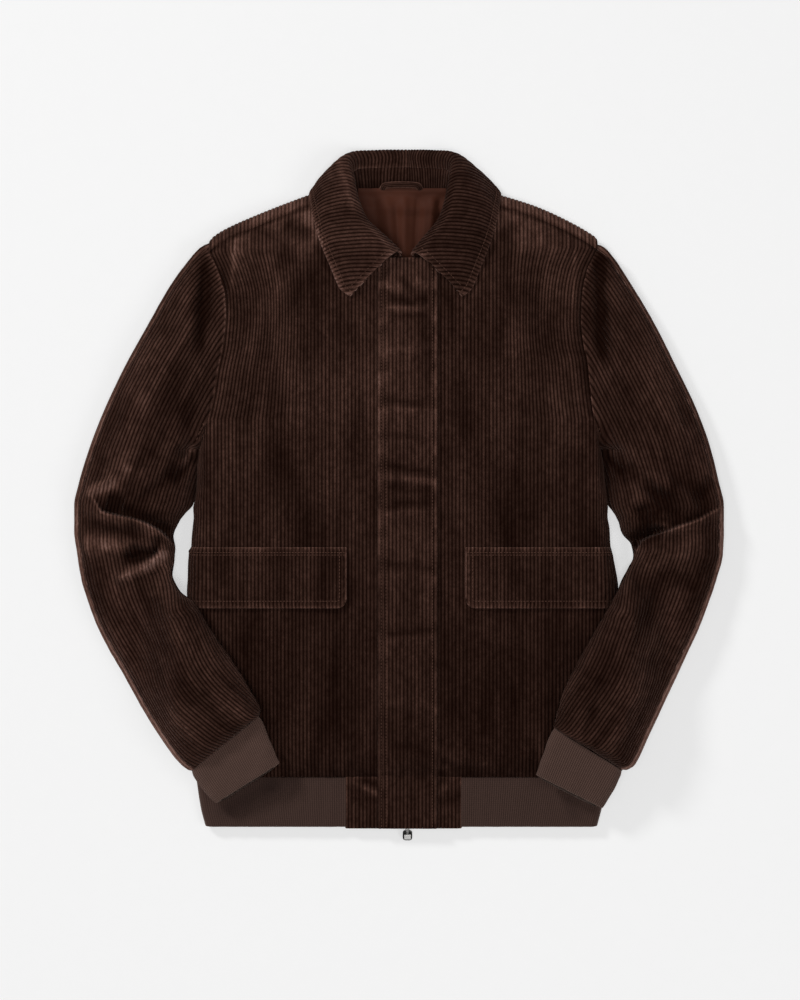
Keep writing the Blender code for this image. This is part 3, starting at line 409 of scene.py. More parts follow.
def folds(x, y, rows):
    """Height of the soft folds at a place, each fading out at its ends and sides."""
    total = np.zeros(np.broadcast(x, y).shape)
    for x0, y0, x1, y1, width, rise in zip(*rows.values()):
        along_x, along_y = x1 - x0, y1 - y0
        length = math.hypot(along_x, along_y)
        share = ((x - x0) * along_x + (y - y0) * along_y) / length ** 2
        away = ((x - x0) * along_y - (y - y0) * along_x) / length
        ends = smooth((share + 0.25) / 0.35) * smooth((1.25 - share) / 0.35)
        total = total + rise * ends * np.exp(-(away / width) ** 2)
    return total


def lip(x, y, rows, reach_up=12.0, reach_down=9.0, edge=1.3):
    """Height of a fold whose edge hangs over a valley: the valley is on the side of greater y."""
    nearest = np.full(np.broadcast(x, y).shape, 1e9)
    signed, depth, rise = (np.zeros(nearest.shape) for _ in range(3))
    for k in range(len(rows["x"]) - 1):
        x0, y0, x1, y1 = rows["x"][k], rows["y"][k], rows["x"][k + 1], rows["y"][k + 1]
        length = math.hypot(x1 - x0, y1 - y0)
        share = np.clip(((x - x0) * (x1 - x0) + (y - y0) * (y1 - y0)) / length ** 2, 0, 1)
        away = np.hypot(x - x0 - share * (x1 - x0), y - y0 - share * (y1 - y0))
        over = ((y - y0) * (x1 - x0) - (x - x0) * (y1 - y0)) * np.sign(x1 - x0)
        above = np.where(over > 0, 1.0, -1.0)
        closer = away < nearest
        nearest = np.where(closer, away, nearest)
        signed = np.where(closer, away * above, signed)
        here = {name: rows[name][k] * (1 - share) + rows[name][k + 1] * share for name in rows}
        depth = np.where(closer, here["depth"], depth)
        rise = np.where(closer, here["rise"], rise)
    hang = np.exp(-(signed / edge) ** 2)
    valley = -depth * (1 - hang) * np.exp(-(signed / reach_up) ** 2) + rise * hang
    return np.where(signed > 0, valley, rise * np.exp(-(signed / reach_down) ** 2))


def waves(x, y, size, height, seed):
    """Soft uneven waves, the same on each run."""
    chance = np.random.default_rng(seed)
    total = 0.0
    for _ in range(7):
        angle, phase = chance.uniform(0, 2 * math.pi, 2)
        length = size * chance.uniform(0.6, 1.7)
        across = x * math.cos(angle) + y * math.sin(angle)
        total = total + np.sin(across * 2 * math.pi / length + phase)
    return total * height / 7 ** 0.5


def run_along(points, axis=0):
    """Distance from the first point, along a line of points or along one way of a grid."""
    steps = np.linalg.norm(np.diff(points, axis=axis), axis=-1)
    return np.insert(np.cumsum(steps, axis=axis), 0, 0.0, axis=axis)


def between(at, run, points):
    """Points of a line, or directions kept for them, at other distances along it."""
    return np.stack([np.interp(at, run, points[:, k]) for k in range(3)], axis=-1)


print("curves ready")

# %% [markdown]
# ## Sizes of the body
# The half width at each height, the armholes, the shoulder line and the neck's edge are tables of
# points. Further tables give the height of the fronts, their folds and their press lines.

# %% Sizes of the body
ROLL_Y = -150.0
HEM_SEAM_Y = -298.0
ARM_LEVEL_Y = 79.0
EDGE_RISE = 9.0
SIDE_TUCK = 10.0
SHOULDER_ROLL = 45.0
SHOULDER_SLANT = 0.92
FLAP_TOP_Y = -56.5
FLAP_LOW_Y = -118.0
PLACKET_HALF = 30.0
MEETS_FROM_Y = -24.0
MEETS_TO_Y = 80.0
SIDE_PRESS = 2.3
HALF_WIDTH = {
    "right": table("y half", (-350, 213), (-331, 218), (-298, 223), (-270, 226.5), (-200, 229.5),
                   (-108, 230.5), (-64, 228.5), (-13, 225), (11, 222), (48, 220), (90, 219)),
    "left": table("y half", (-350, 200), (-331, 205), (-298, 213), (-270, 216.5), (-200, 220),
                  (-97, 221), (-62, 215), (-29, 211.5), (-10, 209.5), (25, 206.5), (48, 205),
                  (90, 204)),
}
ARMHOLE = {
    "right": table("y x", (48, 220), (54, 216.8), (79, 209.5), (105, 204), (130, 200),
                   (161, 193.7), (188, 191.6), (210, 192.7), (234, 200), (254.6, 209.5)),
    "left": table("y x", (48, 205), (54, 202.5), (79, 196.5), (105, 192.9), (139, 189.5),
                  (160, 185), (182, 183), (210, 184.3), (233, 188.5), (259, 200.5)),
}
SHOULDER = {
    "right": table("x y", (45, 334), (64.5, 330), (105.5, 315.5), (162, 293.5), (196, 277.7),
                   (209.5, 268), (223, 255.7)),
    "left": table("x y", (38, 331), (50.5, 329), (95, 316.6), (131, 305), (168.5, 287.2),
                  (200.5, 267), (212.6, 255.7)),
}
FRONT_RISE = table("y rise", (-350, 11.5), (-298, 12), (-288, 18), (-274, 23.5), (-250, 26.5),
                   (-200, 28), (-100, 28.5), (79, 28), (330, 27))
FRONT_FOLDS = {
    "right": lines((181, 238, 190, 165, 9, 3.2), (150, 262, 172, 170, 14, -1.6),
                   (70, 250, 120, 120, 22, 1.6), (186, 110, 176, 20, 14, 2.0),
                   (90, -150, 100, -265, 16, 1.4), (160, -140, 150, -262, 18, 1.8),
                   (48, 60, 52, -40, 14, -1.2)),
    "left": lines((172, 228, 176, 170, 12, 2.4), (140, 262, 150, 180, 16, -1.6),
                  (60, 250, 96, 130, 20, 1.6), (180, 140, 150, 20, 13, 2.2),
                  (84, -150, 92, -262, 16, 1.4), (150, -150, 142, -262, 18, 1.6),
                  (110, 60, 100, -30, 16, -1.2)),
}
PRESS_LINES = {
    "right": lines((186, 66, 20, 64, 2.6, 0.55), (170, 30, 60, 22, 3.0, -0.5),
                   (150, -10, 40, -14, 3.0, 0.5), (196, 118, 120, 104, 4.0, -0.6),
                   (110, 190, 40, 176, 4.0, 0.5), (190, -150, 110, -158, 4.0, 0.5),
                   (120, -200, 50, -196, 4.0, -0.5)),
    "left": lines((180, 60, 44, 66, 2.6, 0.5), (150, 18, 40, 30, 3.0, -0.5),
                  (90, -20, 36, -14, 3.2, 0.7), (180, 112, 104, 98, 4.0, -0.6),
                  (120, 186, 50, 194, 4.0, 0.5), (180, -152, 100, -146, 4.0, 0.5),
                  (126, -204, 44, -210, 4.0, -0.5)),
}
print("points down a side:", len(HALF_WIDTH["right"]["y"]))

# %% [markdown]
# ## The body's shape
# The fronts lie softly puffed over the back. These functions say how high the cloth is at a place,
# how its columns lean with the armhole, and how it rolls under at the sides.

# %% Body
def half_width(side, y):
    return read(y, HALF_WIDTH[side]["y"], HALF_WIDTH[side]["half"])


def arm_edge(side, y):
    return read(y, ARMHOLE[side]["y"], ARMHOLE[side]["x"])


def arm_column(side):
    return float(arm_edge(side, ARM_LEVEL_Y))


def shoulder_line(side, x):
    return read(x, SHOULDER[side]["x"], SHOULDER[side]["y"])


def body_rise(side, x, y):
    """Height of the fronts' outer face, x being the distance from the centre front."""
    top = read(y, FRONT_RISE["y"], FRONT_RISE["rise"])
    column = arm_column(side)
    width = half_width(side, y)
    side_share = np.where(x <= column, 1.0, (width - x) / np.maximum(width - column, 1.0))
    shoulder_share = (shoulder_line(side, x) - y) * SHOULDER_SLANT / SHOULDER_ROLL
    level = EDGE_RISE + (top - EDGE_RISE) * np.minimum(crown(side_share), crown(shoulder_share))
    calm = smooth((column - x) / 20.0) * smooth((shoulder_line(side, x) - y - 14.0) / 20.0)
    calm = calm * smooth((y - HEM_SEAM_Y) / 20.0) * smooth((x - PLACKET_HALF) / 12.0)
    flap = np.clip(smooth((y - FLAP_TOP_Y - 8) / 14.0) + smooth((FLAP_LOW_Y - 8 - y) / 14.0), 0, 1)
    for rows in (FRONT_FOLDS, PRESS_LINES):
        level = level + folds(x, y, rows[side]) * calm * flap
    return level


def gathers(x, y, seed):
    """Soft upright waves where the fronts and back are drawn in by the hem."""
    chance = np.random.default_rng(seed)
    total = 0.0
    for length in (17.0, 23.0, 31.0, 44.0):
        drift = chance.uniform(-0.12, 0.12)
        total = total + np.sin((x + drift * y) * 2 * math.pi / length + chance.uniform(0, 6.3))
    return total * 0.55 * np.exp(-((y - HEM_SEAM_Y) / 42.0) ** 2)


def puckers(x, y, away, seed):
    """Small uneven waves beside a seam."""
    return waves(x, y, 11.0, 0.32, seed) * np.exp(-(away / 9.0) ** 2)


def bent(side, column, y):
    """The cloth's columns lean with the armhole above the underarm."""
    limit = arm_column(side)
    lean = np.where(y > ARM_LEVEL_Y, limit - arm_edge(side, y), 0.0)
    return column - lean * smooth((column / limit - 0.45) / 0.55)


def meets(y):
    """1 where the sleeve's inner edge rests against the side of the body, 0 away from there."""
    return smooth((y - MEETS_FROM_Y) / 22.0) * smooth((MEETS_TO_Y - y) / 30.0)


def side_path(side, y):
    """Line of the outer face at one height, from the armhole's column over the side and under."""
    column = arm_column(side)
    width = float(half_width(side, y)) + SIDE_PRESS * float(meets(y))
    reach = width - column
    tuck = min(SIDE_TUCK, reach * 0.8)
    top = float(body_rise(side, np.array(column), np.array(y)))
    turn = np.linspace(0, math.pi / 2, 25)
    lobe = 2.0 / CROWN_POWER
    x = [column + reach * math.sin(a) ** lobe for a in turn]
    z = [EDGE_RISE + (top - EDGE_RISE) * max(math.cos(a), 0.0) ** lobe for a in turn]
    x += [width - tuck * (1 - math.cos(a)) for a in turn[1:]] + [column]
    z += [EDGE_RISE * (1 - math.sin(a)) for a in turn[1:]] + [0.0]
    run = np.concatenate([[0], np.cumsum(np.hypot(np.diff(x), np.diff(z)))])
    return run, np.array(x), np.array(z)


def scoop(side, x):
    """Where the armhole crosses the side roll, by distance from the centre front."""
    rows = ARMHOLE[side]
    low = rows["y"] <= ARM_LEVEL_Y
    return np.interp(x, rows["x"][low][::-1], rows["y"][low][::-1])


print("side of the body:", round(side_path("right", ROLL_Y)[0][-1], 1), "mm round")

# %% [markdown]
# ## Cloth as a grid
# A cut piece of cloth is a grid of points. Each point knows the direction that the cloth faces
# there, its measures across and along the cords, and how much wear, painted light and painted shade
# lighten or darken it. The cords are raised on the grid, and the free edges are turned in so that
# the cloth looks as thick as it is.

# %% Cloth
WALE = 3.9
WALE_DEPTH = 0.8
CORD_POWER = 0.7
PHASES = (0.0, 0.12, 0.3, 0.5, 0.7, 0.88)
# Turned-in edges are lighter: worn, with a painted highlight where the rounded edge catches light.
EDGE_WEAR_AND_HIGHLIGHT = 1.3
TURN_ANGLES = (0.6, 1.1, 1.57)
TICK_PITCH = 3.8


def unit(v):
    return v / np.maximum(np.linalg.norm(v, axis=-1, keepdims=True), 1e-9)


def marks(start, end, pitch=WALE, phases=PHASES):
    """Distances at which a panel is sampled, a few for each cord."""
    whole = range(math.floor(start / pitch), math.ceil(end / pitch))
    found = np.array([(w + p) * pitch for w in whole for p in phases])
    found = found[(found > start + 0.2) & (found < end - 0.2)]
    return np.concatenate([[start], found, [end]])


def cords(across, pitch=WALE, depth=WALE_DEPTH):
    """Height of the cords: rounded crests at the cloth's face with narrow grooves between them."""
    phase = across / pitch - np.floor(across / pitch)
    return -depth * (1.0 - np.sin(np.pi * phase) ** CORD_POWER)


def facings(points, like=(0, 0, 1)):
    """Direction that each point of a grid faces."""
    found = unit(np.cross(np.gradient(points, axis=1), np.gradient(points, axis=0)))
    return found * (1.0 if float((found * np.array(like)).sum()) > 0 else -1.0)


def turned(facing, row, column, way):
    """Turns all directions round if the one at this place points down an axis."""
    return -facing if facing[row, column, way] < 0 else facing


def seam_dip(away, depth=1.1, width=2.2):
    """The cloth sinks towards a seam."""
    return -depth * np.exp(-(np.maximum(away, 0) / width) ** 2)


def along_contour(points, facing, field, value, axis=0):
    """Points and facings where a field reaches a value, looked for along one way of a grid."""
    if axis == 1:
        points, facing, field = points.swapaxes(0, 1), facing.swapaxes(0, 1), field.T
    found = []
    for c in range(field.shape[1]):
        above = field[:, c] > value
        change = np.flatnonzero(above[1:] != above[:-1])
        if len(change):
            r = change[0]
            t = (value - field[r, c]) / (field[r + 1, c] - field[r, c])
            found.append(np.concatenate([points[r, c] * (1 - t) + points[r + 1, c] * t,
                                         facing[r, c] * (1 - t) + facing[r + 1, c] * t]))
    found = np.array(found)
    return found[:, :3], unit(found[:, 3:])


class Cloth:
    """A grid of points with its facings and its measures across and along the cords."""

    def __init__(self, points, facing, across, along):
        self.points, self.facing = points, facing
        self.across = np.broadcast_to(across, points.shape[:2]).astype(float)
        self.along = np.broadcast_to(along, points.shape[:2]).astype(float)
        self.nap = np.ones(points.shape[:2])

    def wear_and_painted_light(self, away, width, gain):
        """Lighter near an edge, a seam or a ridge for a positive gain, wear with a painted
        highlight; darker for a negative gain, painted shade.
        """
        self.nap = self.nap * (1.0 + gain * np.exp(-(away / width) ** 2))
        return self

    def drawn_in(self, away, along, depth=0.5):
        """Topstitching draws the cloth beside an edge into a row of small ticks, each painted
        lighter where it is raised and darker where it sinks: painted light and shade.
        """
        beside = np.exp(-((away - 2.6) / 2.4) ** 2)
        uneven = 0.7 + 0.3 * np.sin(along / 9.0) * np.cos(along / 23.0)
        tick = np.sin(along * 2 * math.pi / TICK_PITCH + np.sin(along / 7.0)) * beside * uneven
        self.nap = self.nap * (1.0 + depth * tick)
        return self.lift(tick * 0.3)

    def lift(self, height):
        height = np.broadcast_to(height, self.points.shape[:2])
        self.points = self.points + self.facing * height[..., None]
        return self

    def over_table(self):
        self.points[..., 2] = np.maximum(self.points[..., 2], 0.0)
        return self

    def mirrored(self, side):
        self.points[..., 0] *= SIDES[side]
        self.facing[..., 0] *= SIDES[side]
        return self

    def flip_axes(self):
        self.points, self.facing = self.points.swapaxes(0, 1), self.facing.swapaxes(0, 1)
        self.across, self.along, self.nap = self.across.T, self.along.T, self.nap.T

    def turn_in(self, ends, depth, radius=1.3):
        """Turns edges in: top and bottom are the last and first row, right and left the columns."""
        for end in ends.split():
            self.turn_in_edge(end, depth, min(radius, depth))
        return self

    def turn_in_edge(self, end, depth, radius):
        side = end in ("left", "right")
        if side:
            self.flip_axes()
        last = end in ("top", "right")
        edge, normal = (v[-1 if last else 0] for v in (self.points, self.facing))
        inner = self.points[-4 if last else 3]
        out = unit(np.cross(np.gradient(edge, axis=0), normal))
        out = out * np.where(np.sum(out * (edge - inner), axis=-1, keepdims=True) < 0, -1.0, 1.0)
        steps = [(radius * math.sin(a), radius * (1 - math.cos(a)), a) for a in TURN_ANGLES]
        steps += [(radius, depth, TURN_ANGLES[-1])] if depth > radius + 0.1 else []
        points = [edge + out * reach - normal * drop for reach, drop, _ in steps]
        facing = [unit(normal * math.cos(a) + out * math.sin(a)) for _, _, a in steps]
        for name, new in (("points", points), ("facing", facing)):
            self.extend(name, np.array(new), last)
        away = np.array([reach + drop for reach, drop, _ in steps])[:, None] * (1 if last else -1)
        for name, moves in (("across", side), ("along", not side)):
            row = getattr(self, name)[-1 if last else 0]
            self.extend(name, row + away * moves, last)
        # The turned-in edge is made lighter: wear with a painted highlight.
        self.extend("nap", self.nap[-1 if last else 0] * EDGE_WEAR_AND_HIGHLIGHT + 0 * away, last)
        if side:
            self.flip_axes()

    def extend(self, name, new, last):
        old = getattr(self, name)
        setattr(self, name, np.concatenate([old, new] if last else [new[::-1], old]))


print("cloth grids ready")

# %% [markdown]
# ## From a grid to an object
# Points that fall together at a seam are merged and faces that collapse are left out, so that a
# piece is one clean sheet. Its measures become the UV map, and its wear, painted light and painted
# shade are kept at each point. Each piece starts at its own place in the finish, so that no two
# pieces show the same noise.

# %% Sewing
MADE = []
STITCH_LINES = {}
MERGE_STEPS = 500


def sew(name, cloth, finish, node, keep=None, pitch=WALE):
    """Makes the object of a cloth grid: merged points, smooth faces and the UV map."""
    rows, columns = cloth.points.shape[:2]
    index = np.arange(rows * columns).reshape(rows, columns)
    quads = np.stack([index[:-1, :-1], index[:-1, 1:], index[1:, 1:], index[1:, :-1]], axis=-1)
    quads = quads.reshape(-1, 4) if keep is None else quads[keep]
    flat = cloth.points.reshape(-1, 3)
    _, first, whole = np.unique(np.round(flat * MERGE_STEPS).astype(int), axis=0,
                                return_index=True, return_inverse=True)
    whole = whole.reshape(-1)
    middle = cloth.facing.reshape(-1, 3)[quads].sum(axis=1)
    corners = flat[quads]
    turn = np.cross(corners[:, 2] - corners[:, 0], corners[:, 3] - corners[:, 1])
    if float((turn * middle).sum()) < 0:
        quads = quads[:, ::-1]
    faces, places = [], []
    for face, place in zip(whole[quads].tolist(), quads.tolist()):
        kept = [k for k in range(4) if face[k] != face[k - 1]]
        if len(kept) > 2 and len({face[k] for k in kept}) == len(kept):
            faces.append([face[k] for k in kept])
            places.extend(place[k] for k in kept)
    mesh = bpy.data.meshes.new(name)
    mesh.from_pydata((flat[first] * MM).tolist(), [], faces)
    shift = 37 * len(MADE) + 100
    uv = np.stack([measure.reshape(-1) / pitch + shift for measure in (cloth.across, cloth.along)],
                  axis=-1)[places].astype(np.float32)
    mesh.uv_layers.new(name="cloth").data.foreach_set("uv", uv.reshape(-1))
    nap = cloth.nap.reshape(-1)[first].astype(np.float32)
    mesh.attributes.new("nap", "FLOAT", "POINT").data.foreach_set("value", nap)
    mesh.materials.append(FINISHES[finish])
    mesh.shade_smooth()
    shape = bmesh.new()
    shape.from_mesh(mesh)
    bmesh.ops.delete(shape, geom=[v for v in shape.verts if not v.link_faces], context="VERTS")
    area = sum(f.calc_area() for f in shape.faces)
    shape.to_mesh(mesh)
    shape.free()
    piece = placed(name, mesh)
    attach(piece, "jacket")
    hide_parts(node)
    MADE.append(len(faces))
    print(f"{name}: {len(faces)} faces, {area * 1e4:.0f} square cm")
    return piece


print("points merge within", 1 / MERGE_STEPS, "mm")

# %% [markdown]
# ## Fronts
# Each front is one piece from the zip to the side seam. Its cords run straight up, and lean with
# the armhole only near the shoulder. It sinks at the armhole, neck, shoulder and hem seams. Its
# grid is joined from a part that rolls under at the side, and a part above it that ends at the
# armhole.

# %% Fronts
FAR = 50.0
SEAM_GAP = 0.5
SHOULDER_FORWARD = 13.5
CENTRE_GAP = 6.0
# Painted shade: the wearer's left front is darker, away from the light.
FRONT_SIDE_LIGHT = {"right": 1.0, "left": 0.93}
NECK_EDGE = {
    "right": table("x y", (0, 243), (11, 247), (25, 256), (48, 271.5), (61, 295), (64.5, 316)),
    "left": table("x y", (0, 243), (8, 247), (19, 256), (37, 271.5), (47, 295), (50.5, 316)),
}
HEM_WRINKLES = {
    "right": lines((40, -232, 46, -290, 5, 1.3), (70, -204, 82, -286, 6, 1.2),
                   (100, -216, 104, -290, 6, 1.0), (54, -250, 58, -288, 4, -1.0),
                   (124, -240, 130, -288, 5, 1.2), (88, -246, 92, -290, 4, -1.0),
                   (146, -262, 160, -286, 5, 1.2)),
    "left": lines((34, -270, 54, -281, 3.4, 2.0), (56, -266, 82, -284, 3.4, 2.0),
                  (40, -283, 66, -292, 3, -1.4), (136, -250, 146, -284, 5, 1.5),
                  (96, -240, 102, -290, 5, 1.1), (116, -262, 122, -292, 4, -1.1),
                  (70, -216, 76, -262, 6, 0.8)),
}
# Painted light: lighter towards the shoulders, darker towards the hem.
PAINTED_LIGHT_BY_HEIGHT = table("y tone", (-300, 0.56), (-190, 0.54), (-110, 0.62), (-20, 0.78), (80, 0.91),
             (200, 1.01), (240, 1.12), (262, 1.48), (282, 1.65), (330, 1.5))
# Painted light and shade along lines: lit bands on folds, and shadows such as under the collar's
# points.
FRONT_PAINTED_LIGHT = {
    "right": lines((180, 268, 189, 168, 1.8, 0.5), (190, 262, 196, 180, 4.5, -0.4),
                   (160, 240, 110, 170, 26, 0.2), (126, 284, 102, 272, 7, -0.6),
                   (160, 280, 146, 272, 5, -0.4), (134, 252, 118, 246, 7, -0.25),
                   (140, 179, 90, 242, 8, -0.24), (154, 196, 104, 258, 9, 0.18),
                   (74, 222, 40, 204, 9, -0.35), (96, 262, 84, 240, 6, -0.4),
                   (60, 150, 60, 60, 18, 0.14), (196, 20, 190, -40, 12, 0.12),
                   (60, -130, 100, -150, 14, 0.16), (140, 100, 60, 96, 8, -0.1),
                   (46, -190, 60, -284, 10, 0.16)),
    "left": lines((176, 262, 172, 170, 1.6, 0.45), (60, 214, 38, 206, 9, -0.35),
                  (160, 226, 120, 160, 22, 0.18), (50, 40, 56, -30, 14, 0.14),
                  (182, 40, 184, -30, 9, -0.2), (110, 90, 60, 84, 8, -0.1),
                  (40, -268, 84, -286, 5, 0.3), (130, -246, 150, -286, 6, 0.3),
                  (70, -140, 120, -150, 14, 0.14), (92, 262, 80, 236, 6, -0.35),
                  (30, -283, 45, -291, 3.5, 1.0), (112, 282, 96, 268, 7, -0.5),
                  (40, -294, 70, -296, 3, -0.3)),
}
FRONT_ROWS = 76
FRONT_TOP_ROWS = 46
FRONT_SEED = {"right": 4, "left": 3}
ROLL_TOP_Y = 60.0


def make_front(side):
    column = arm_column(side)
    seam = column - SEAM_GAP / 2
    on_top = marks(CENTRE_GAP, seam)
    run = side_path(side, ROLL_Y)[0][-1]
    rolled = marks(seam, column + run * (1 - SEAM_GAP / 60))[1:]
    shares = (rolled - column) / run
    low_y = np.linspace(HEM_SEAM_Y + SEAM_GAP / 2, ARM_LEVEL_Y, FRONT_ROWS)
    grid_x, grid_y = np.meshgrid(on_top, low_y)
    top_part = np.stack([grid_x, grid_y, body_rise(side, grid_x, grid_y)], axis=-1)
    turn_y = low_y[0] + 0.7 * (low_y[-1] - low_y[0])
    under_path, under_x, _ = side_path(side, ROLL_TOP_Y)
    limit = scoop(side, np.interp(shares * under_path[-1], under_path, under_x)) - SEAM_GAP / 2
    roll_part = []
    for y in low_y:
        level = np.full_like(shares, y)
        if y > turn_y:
            level = turn_y + (limit - turn_y) * (y - turn_y) / (low_y[-1] - turn_y)
        path, xs, zs = side_path(side, y)
        at = shares * path[-1]
        side_x, side_z = np.interp(at, path, xs), np.interp(at, path, zs)
        roll_part.append(np.stack([side_x, level, side_z], axis=-1))
    low = np.concatenate([top_part, np.array(roll_part)], axis=1)
    neck = read(on_top, NECK_EDGE[side]["x"], NECK_EDGE[side]["y"])
    shoulder = shoulder_line(side, on_top) - SHOULDER_FORWARD
    top_y = np.where(on_top < NECK_EDGE[side]["x"][-1], neck, shoulder) - SEAM_GAP / 2
    share = (np.arange(1, FRONT_TOP_ROWS + 1) / FRONT_TOP_ROWS)[:, None]
    y = ARM_LEVEL_Y + (top_y - ARM_LEVEL_Y) * share
    x = bent(side, on_top[None, :], y)
    high = np.stack([x, y, body_rise(side, x, y)], axis=-1)
    upper = np.concatenate([top_part, high])
    low_rows, top_columns = len(low_y), len(on_top)
    rows, columns = low_rows + FRONT_TOP_ROWS, top_columns + len(rolled)
    chest = slice(low_rows, None), slice(None, top_columns)
    points, facing = np.zeros((2, rows, columns, 3))
    points[:low_rows], points[:, :top_columns] = low, upper
    facing[:low_rows] = facings(low)
    facing[:, :top_columns - 3] = facings(upper)[:, :top_columns - 3]
    facing[chest] = facings(upper)[low_rows:]
    away, armhole = np.full((2, rows, columns), FAR)
    away[chest] = np.minimum(seam - on_top, top_y - y)
    armhole[chest] = seam - on_top
    across = np.concatenate([on_top, rolled])
    along = points[..., 1].copy()
    away = np.minimum(away, along - low_y[0])
    relief = cords(across) * smooth(away / 3.0) + seam_dip(away)
    seed = FRONT_SEED[side]
    plan = points[..., 0], points[..., 1]
    spread = waves(*plan, 60.0, 0.6, seed) + waves(*plan, 22.0, 0.16, seed + 50)
    soft = spread * smooth(away / 20) + gathers(*plan, seed + 20) * smooth(away / 3)
    soft = soft + puckers(*plan, away, seed + 30) - 2.2 * np.exp(-(armhole / 5.0) ** 2)
    soft = soft + folds(*plan, HEM_WRINKLES[side]) * smooth(away / 4)
    cloth = Cloth(points, facing, across, along).lift(relief + soft).over_table()
    edge = Cloth(cloth.points[chest], facing[chest], on_top, 0.0).turn_in("right", 2.4)
    spare = edge.points[:, top_columns:]
    for k in range(len(rolled)):
        cloth.points[low_rows:, top_columns + k] = spare[:, min(k, spare.shape[1] - 1)]
    facing[low_rows:, top_columns:] = facing[low_rows:, top_columns - 1:top_columns]
    cloth.mirrored(side)
    x, y = np.abs(cloth.points[..., 0]), cloth.points[..., 1]
    # Painted light and shade: lighter on raised folds, darker in dips and at the armhole.
    tone = 1 + 0.22 * np.clip(soft, -1.5, 1.5) + folds(x, y, FRONT_PAINTED_LIGHT[side])
    cloth.nap = read(y, PAINTED_LIGHT_BY_HEIGHT["y"], PAINTED_LIGHT_BY_HEIGHT["tone"]) * tone * FRONT_SIDE_LIGHT[side]
    # Painted shade beside the seams and edges.
    cloth.wear_and_painted_light(away, 2.4, -0.12)
    # Painted shade along the neck and shoulder seam.
    cloth.nap[-1] *= 0.6
    keep = np.ones((rows - 1, columns - 1), bool)
    keep[low_rows - 1, top_columns - 1:] = False
    cloth.turn_in("top bottom", 2.2)
    extra = cloth.points.shape[0] - rows
    keep = np.pad(keep, ((extra // 2, extra - extra // 2), (0, 0)), constant_values=True)
    return sew("front_panel_" + side, cloth, "corduroy", "front_" + side, keep=keep)


for side in SIDES:
    make_front(side)

# %% [markdown]
# ## Back
# The back is one piece under the fronts. At the shoulders it wraps forward, so that a strip of it
# shows in front of the shoulder line with its cords running over the edge.

# %% Back
SHOULDER_TUCK = 9.0
NECK_RISE = 4.2
EDGE_SHARE = {"right": 1.0, "left": 0.95}
BACK_FOLDS = lines((-150, 240, -60, 170, 16, 1.6), (140, 236, 66, 160, 15, 1.5),
                   (-190, 60, -110, 20, 14, 1.5), (180, 52, 96, 26, 13, 1.4),
                   (-120, -120, -104, -262, 12, 1.4), (60, -150, 70, -270, 12, 1.3),
                   (150, -160, 138, -266, 11, 1.3), (-30, -190, -26, -280, 11, 1.2),
                   (-170, -10, -20, -26, 8, 0.9), (10, 70, 150, 84, 8, 0.9))
BACK_ROWS = 30
BACK_TOP_ROWS = 20
BACK_NECK_Y = 319.0
BACK_NAP = 0.95
# Painted highlight on the strip of the back that faces sideways over the shoulder.
STRIP_PAINTED_LIGHT = 1.75


def back_floor(side, x, y):
    """Underside of the back: on the table, but raised over the collar's turned-down fall."""
    near_neck = smooth((y - 291.0) / 13.0)
    inside = 1.0 - smooth((x - 96.0 * EDGE_SHARE[side]) / 16.0)
    return NECK_RISE * near_neck * inside


def shoulder_wrap(side, x):
    """Lines of the back's outer face from its underside over the shoulder to the shoulder seam."""
    line = shoulder_line(side, x)
    floor = back_floor(side, x, line - SHOULDER_TUCK)
    top = read(line, FRONT_RISE["y"], FRONT_RISE["rise"])
    turn = np.linspace(0, math.pi / 2, 9)
    ys = [line - SHOULDER_TUCK + SHOULDER_TUCK * math.sin(a) for a in turn]
    zs = [EDGE_RISE + (floor - EDGE_RISE) * math.cos(a) for a in turn]
    for inset in np.linspace(0, SHOULDER_FORWARD - SEAM_GAP / 2, 11)[1:]:
        ys.append(line - inset)
        zs.append(EDGE_RISE + (top - EDGE_RISE) * crown(inset * SHOULDER_SLANT / SHOULDER_ROLL))
    return np.array(ys), np.array([z + 0 * x for z in zs])


def back_half(side):
    """Half of the back as a grid from the hem over the shoulder, columns from the middle out."""
    x = marks(0.0, arm_column(side) - SEAM_GAP / 2)
    corner = NECK_EDGE[side]["x"][-1]
    line = shoulder_line(side, x)
    top = np.where(x >= corner - 0.01, line - SHOULDER_TUCK, BACK_NECK_Y)
    low_y = np.linspace(HEM_SEAM_Y + SEAM_GAP / 2, ARM_LEVEL_Y, BACK_ROWS)
    x_low, y_low = np.meshgrid(x, low_y)
    share = (np.arange(1, BACK_TOP_ROWS + 1) / BACK_TOP_ROWS)[:, None]
    y_high = ARM_LEVEL_Y + (top - ARM_LEVEL_Y) * share
    x_high = bent(side, x[None, :], y_high)
    z_high = back_floor(side, x_high, y_high)
    y_wrap, z_wrap = shoulder_wrap(side, x)
    x_wrap = bent(side, x[None, :], y_wrap)
    neck = x < corner
    x_wrap[:, neck] = x_high[-1:, neck]
    y_wrap[:, neck] = y_high[-1:, neck]
    z_wrap[:, neck] = back_floor(side, x, y_high[-1:])[:, neck]
    half = np.stack([np.concatenate([x_low, x_high, x_wrap]) * SIDES[side],
                     np.concatenate([y_low, y_high, y_wrap]),
                     np.concatenate([0 * x_low, z_high, z_wrap])], axis=-1)
    return half, x


